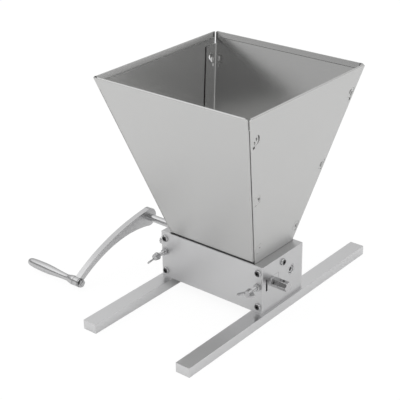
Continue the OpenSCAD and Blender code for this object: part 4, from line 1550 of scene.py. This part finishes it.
@dataclass
class Crank:
    """Rear shaft, bowed arm, set screw and the grip that turns on its stud."""

    shaft_dia: float = 10.0
    shaft_right: float = 79.0
    centre_hole: float = 5.0
    arm_rounding: float = 0.9
    set_screw_in: float = 4.0
    grip_len: float = 87.5
    grip_dia: float = 12.8
    neck_dia: float = 8.6
    collar_dia: float = 12.4
    neck_share: float = 0.16
    belly_share: float = 0.64
    end_taper: float = 0.2
    blunt_power: float = 12.0
    stud_dia: float = 6.0
    stud_depth: float = 6.0
    stud_end: float = 1.0
    washer_play: float = 0.3
    washer_dia: float = 12.0
    washer_t: float = 1.6
    nut_flats: float = 9.6
    nut_h: float = 3.2

    def __post_init__(self) -> None:
        """Works out the crank's frame at rest."""
        self.rest = Matrix.Translation((0, REAR_Y, AXIS_Z)) @ Matrix.Rotation(CRANK_REST, 4, "X")
        self.grip_axis = self.rest @ Matrix.Translation((0, -CRANK_RADIUS, 0))

    def build(self, fitter: Fitter) -> None:
        """Builds every piece of the crank.

        Args:
            fitter: Finishes and places the pieces.
        """
        r, hole, long = self.shaft_dia / 2, self.centre_hole / 2, self.shaft_right - ARM_OUT_X
        profile = ((1.2, 0.0), (r - 0.6, 0.0), (r, 0.6), (r, long - 0.8), (r - 0.8, long),
                   (hole + 0.6, long), (hole, long - 0.8), (hole, long - 4.0), (0.3, long - 5.2))
        shaft = Shape().lathe(profile, Axis.RIGHT.frame((ARM_OUT_X, REAR_Y, AXIS_Z)))
        fitter.place(shaft.to_object("shaft"), "turned_rear_shaft", "crank", Slot.SHAFT, "rear_shaft")
        arm = fitter.soften("crank_arm", self.arm_rounding, 3)
        fitter.place(arm, "rounded_crank_arm", "crank", Slot.CRANK, "crank_arm")
        self.set_screw(fitter)
        self.grip(fitter)
        self.stud(fitter)

    def set_screw(self, fitter: Fitter) -> None:
        """Builds the set screw in the arm's hub.

        Args:
            fitter: Finishes and places the pieces.
        """
        r, long = SCREW_DIA / 2, 7.0
        profile = ((1.2, 0.0), (r - 0.4, 0.0), (r, 0.5), (r, long - 0.3), (r - 0.3, long), (1.75, long),
                   (2.5, 6.9, UNCUT), (2.5, 4.6, UNCUT), (0.5, 4.4))
        frame = self.rest @ Matrix.Translation((ARM_OUT_X + self.set_screw_in, self.shaft_dia / 2, 0))
        screw = Shape().lathe(profile, frame @ Matrix.Rotation(-QUARTER, 4, "X"), 48).to_object("set_screw")
        fitter.place(screw, "socket_set_screw", "crank", Slot.DARK, "hub_set_screw")

    def grip_radius(self, share: float) -> float:
        """Returns the grip's radius past its neck.

        Args:
            share: Place along the grip as a share of its length.

        Returns:
            The radius.
        """
        if share < self.belly_share:
            along = (share - self.neck_share) / (self.belly_share - self.neck_share)
            swell = (1 - math.cos(math.pi * along)) / 2
            return self.neck_dia / 2 + (self.grip_dia - self.neck_dia) / 2 * swell
        tail = (share - self.belly_share) / (1 - self.belly_share)
        taper = 1 - self.end_taper * tail ** 2
        return self.grip_dia / 2 * taper * math.sqrt(max(0.0, 1 - tail ** self.blunt_power))

    def grip(self, fitter: Fitter) -> None:
        """Builds the turned grip with its collar, neck, belly and rounded end.

        Args:
            fitter: Finishes and places the pieces.
        """
        r, bore, neck = self.collar_dia / 2, self.stud_dia / 2 + 0.05, self.neck_dia / 2
        start = self.neck_share * self.grip_len
        collar = self.grip_len * self.neck_share * 0.3
        profile = [(bore, 8.0), (bore, 0.0), (r - 0.5, 0.0), (r - 0.12, 0.14), (r, 0.5), (r, collar - 0.6),
                   (r - 0.25, collar + 0.3)]
        for share in (0.25, 0.5, 0.75, 1.0):
            ease = (1 + math.cos(math.pi * share)) / 2
            profile.append((neck + (r - 0.25 - neck) * ease, collar + 0.3 + (start - collar - 0.3) * share))
        steps = 44
        for i in range(1, steps):
            share = self.neck_share + (1 - self.neck_share) * (1 - (1 - i / steps) ** 1.8)
            profile.append((self.grip_radius(share), share * self.grip_len))
        profile.append((0.3, self.grip_len))
        grip = Shape().lathe(profile, self.grip_axis @ Axis.LEFT.frame((GRIP_X, 0, 0)), 80)
        fitter.place(grip.to_object("grip"), "turned_grip", "grip_set", Slot.CRANK, "grip")

    def stud(self, fitter: Fitter) -> None:
        """Builds the stud with its washer and nut on the arm's inner face.

        Args:
            fitter: Finishes and places the pieces.
        """
        washer_x = ARM_IN_X + self.washer_play
        nut_x = washer_x + self.washer_t
        r, long = self.stud_dia / 2, nut_x + self.nut_h + self.stud_end - GRIP_X + self.stud_depth
        frame = self.grip_axis @ Axis.RIGHT.frame((GRIP_X - self.stud_depth, 0, 0))
        stud = Shape().lathe(((r, 0.0), (r, long - 0.5), (r - 0.5, long), (0.8, long)), frame, 48)
        fitter.place(stud.to_object("stud"), "turned_grip_stud", "grip_set", Slot.FASTENER, "grip_stud")
        washer = (self.grip_axis @ Vector((washer_x, 0, 0)), Vector((1, 0, 0)), 0.0)
        fitter.fasten(flat_washer(0.25), [washer], self.washer_dia, self.washer_t,
                      "flat_grip_washer", "grip_set", "grip_washer")
        nut = (self.grip_axis @ Vector((nut_x, 0, 0)), Vector((1, 0, 0)), 24.0)
        fitter.fasten(hex_nut(), [nut], self.nut_flats, self.nut_h, "hex_grip_nut", "grip_set", "grip_nut")


@dataclass
class Studio:
    """Camera at the photograph's angle, soft lamps, pale floor and world."""

    azimuth: float = 39.959
    elevation: float = 25.794
    roll: float = -1.069
    distance: float = 1369.393
    target: tuple[float, float, float] = (-50.035, 0.0, 113.025)
    focal_px: float = 1076.866
    frame_px: float = 400.0
    sensor: float = 36.0
    sky: tuple[tuple[float, float], ...] = (
        (-0.05, 0.86), (0.06, 0.72), (0.2, 0.60), (0.43, 0.46), (0.58, 0.95), (1.0, 1.0))
    front_dark: float = 0.8
    dark_grey: float = 0.05
    dark_ahead: tuple[float, float] = (0.1, -0.5)
    dark_from: tuple[float, float] = (0.26, 0.37)
    dark_to: tuple[float, float] = (0.58, 0.45)
    world_strength: float = 0.88
    floor_reach: float = 9000.0
    floor_seen: float = 0.9
    floor_mirrored: float = 0.12
    floor_glow: float = 1.03
    paper: float = 0.99
    lamps: tuple[tuple[str, tuple[float, float, float], float, float], ...] = (
        ("key", (-1.2, -1.0, 1.8), 1.8, 4.0), ("side", (1.7, -0.5, 1.3), 1.6, 2.0))
    lamp_aim: tuple[float, float, float] = (0.0, 0.0, 0.1)

    def build(self) -> None:
        """Sets up everything around the mill."""
        self.camera()
        self.world()
        self.floor()
        for lamp in self.lamps:
            self.lamp(*lamp)
        bpy.context.scene.view_settings.view_transform = "Standard"

    def camera(self) -> None:
        """Makes the camera."""
        az, el, roll = (math.radians(v) for v in (self.azimuth, self.elevation, self.roll))
        back = Vector((math.sin(az) * math.cos(el), -math.cos(az) * math.cos(el), math.sin(el)))
        right = Vector((math.cos(az), math.sin(az), 0))
        up = back.cross(right)
        tilted = right * math.cos(roll) + up * math.sin(roll)
        upright = -right * math.sin(roll) + up * math.cos(roll)
        data = bpy.data.cameras.new("camera")
        data.sensor_width = self.sensor
        data.lens = self.focal_px / self.frame_px * data.sensor_width
        pose = Matrix((tilted, upright, back)).transposed().to_4x4()
        middle = Vector(self.target) + Vector((MIDDLE_X, 0, 0))
        pose.translation = (middle + back * self.distance) * MM
        eye = add_object("camera", data)
        eye.matrix_world = pose
        bpy.context.scene.camera = eye

    def world(self) -> None:
        """Makes a pale studio that is greyer at the horizon and white to the camera."""
        world = bpy.data.worlds.new("studio")
        bench = Bench.emptied(world)
        way = bench.add("ShaderNodeTexCoord").outputs["Generated"]
        _, ahead, rise = bench.add("ShaderNodeSeparateXYZ", {0: way}).outputs
        ramp = bench.add("ShaderNodeValToRGB", {0: bench.math("MULTIPLY_ADD", rise, 0.5, 0.5)})
        ramp.color_ramp.interpolation = "EASE"
        while len(ramp.color_ramp.elements) < len(self.sky):
            ramp.color_ramp.elements.new(0.5)
        for stop, (height, grey) in zip(ramp.color_ramp.elements, self.sky):
            stop.position = (height + 1) / 2
            stop.color = (grey, grey, grey, 1.0)
        ahead, low, high = (bench.eased(value, *limits) for value, limits in (
            (ahead, self.dark_ahead), (rise, self.dark_from), (rise, self.dark_to)))
        dark = bench.math("MULTIPLY", bench.math("MULTIPLY", ahead, low),
                          bench.math("MULTIPLY", high, self.front_dark))
        tone = bench.blend(dark, ramp.outputs[0], (*[self.dark_grey] * 3, 1.0))
        paths = bench.add("ShaderNodeLightPath").outputs
        studio, plain, white = (
            bench.add("ShaderNodeBackground", {"Color": colour, "Strength": strength})
            for colour, strength in ((tone, 1.0), ((1, 1, 1, 1), self.world_strength), ((1, 1, 1, 1), 1.0)))
        lit = bench.shaders(bench.mirrored(paths), plain, studio)
        shown = bench.shaders(paths["Is Camera Ray"], lit, white)
        bench.add("ShaderNodeOutputWorld", {"Surface": shown.outputs[0]})
        bpy.context.scene.world = world

    def floor(self) -> None:
        """Makes the pale floor, white to the camera with a faint shadow."""
        disc = Shape().lathe([(self.floor_reach, -0.2), (self.floor_reach, -0.1)], count=64)
        floor = disc.to_object("floor")
        floor.data.transform(Matrix.Scale(MM, 4))
        made = bpy.data.materials.new("paper_floor")
        bench = Bench.emptied(made)
        paths = bench.add("ShaderNodeLightPath").outputs
        mirrored = bench.math("MULTIPLY", bench.mirrored(paths), self.floor_mirrored)
        share = bench.math("MULTIPLY_ADD", paths["Is Camera Ray"], self.floor_seen, mirrored)
        paper = bench.add("ShaderNodeBsdfDiffuse", {"Color": (self.paper, self.paper, self.paper, 1)})
        glow = bench.add("ShaderNodeEmission", {"Color": (1, 1, 1, 1), "Strength": self.floor_glow})
        mixed = bench.shaders(share, paper, glow)
        bench.add("ShaderNodeOutputMaterial", {"Surface": mixed.outputs[0]})
        floor.data.materials.append(made)

    def lamp(self, name: str, place: tuple[float, float, float], size: float, power: float) -> None:
        """Makes one soft square lamp that faces the mill.

        Args:
            name: The lamp's name.
            place: Its place in metres.
            size: Its side in metres.
            power: Its power in watts.
        """
        data = bpy.data.lights.new(name, "AREA")
        data.size = size
        data.energy = power
        lamp = add_object(name, data)
        lamp.location = place
        lamp.rotation_euler = (Vector(place) - Vector(self.lamp_aim)).to_track_quat("Z", "Y").to_euler()


def main() -> None:
    """Builds the mill's looks and the studio."""
    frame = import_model()
    fitter = Fitter(frame)
    fitter.dress_nodes()
    Studio().build()
    parts = (
        RollerBox(), Hopper(), FrontCarriage(),
        RollerSet("front", "front_roller_set", FRONT_Y, 12.0), RollerSet("rear", "crank", REAR_Y, 10.0),
        FrontShaft(), Crank(),
    )
    for part in parts:
        log.info("building %s", type(part).__name__)
        part.build(fitter)
    log.info("%d pieces placed", fitter.placed)


if __name__ == "__main__":
    logging.basicConfig(level=logging.INFO, format="%(name)s: %(message)s")
    main()
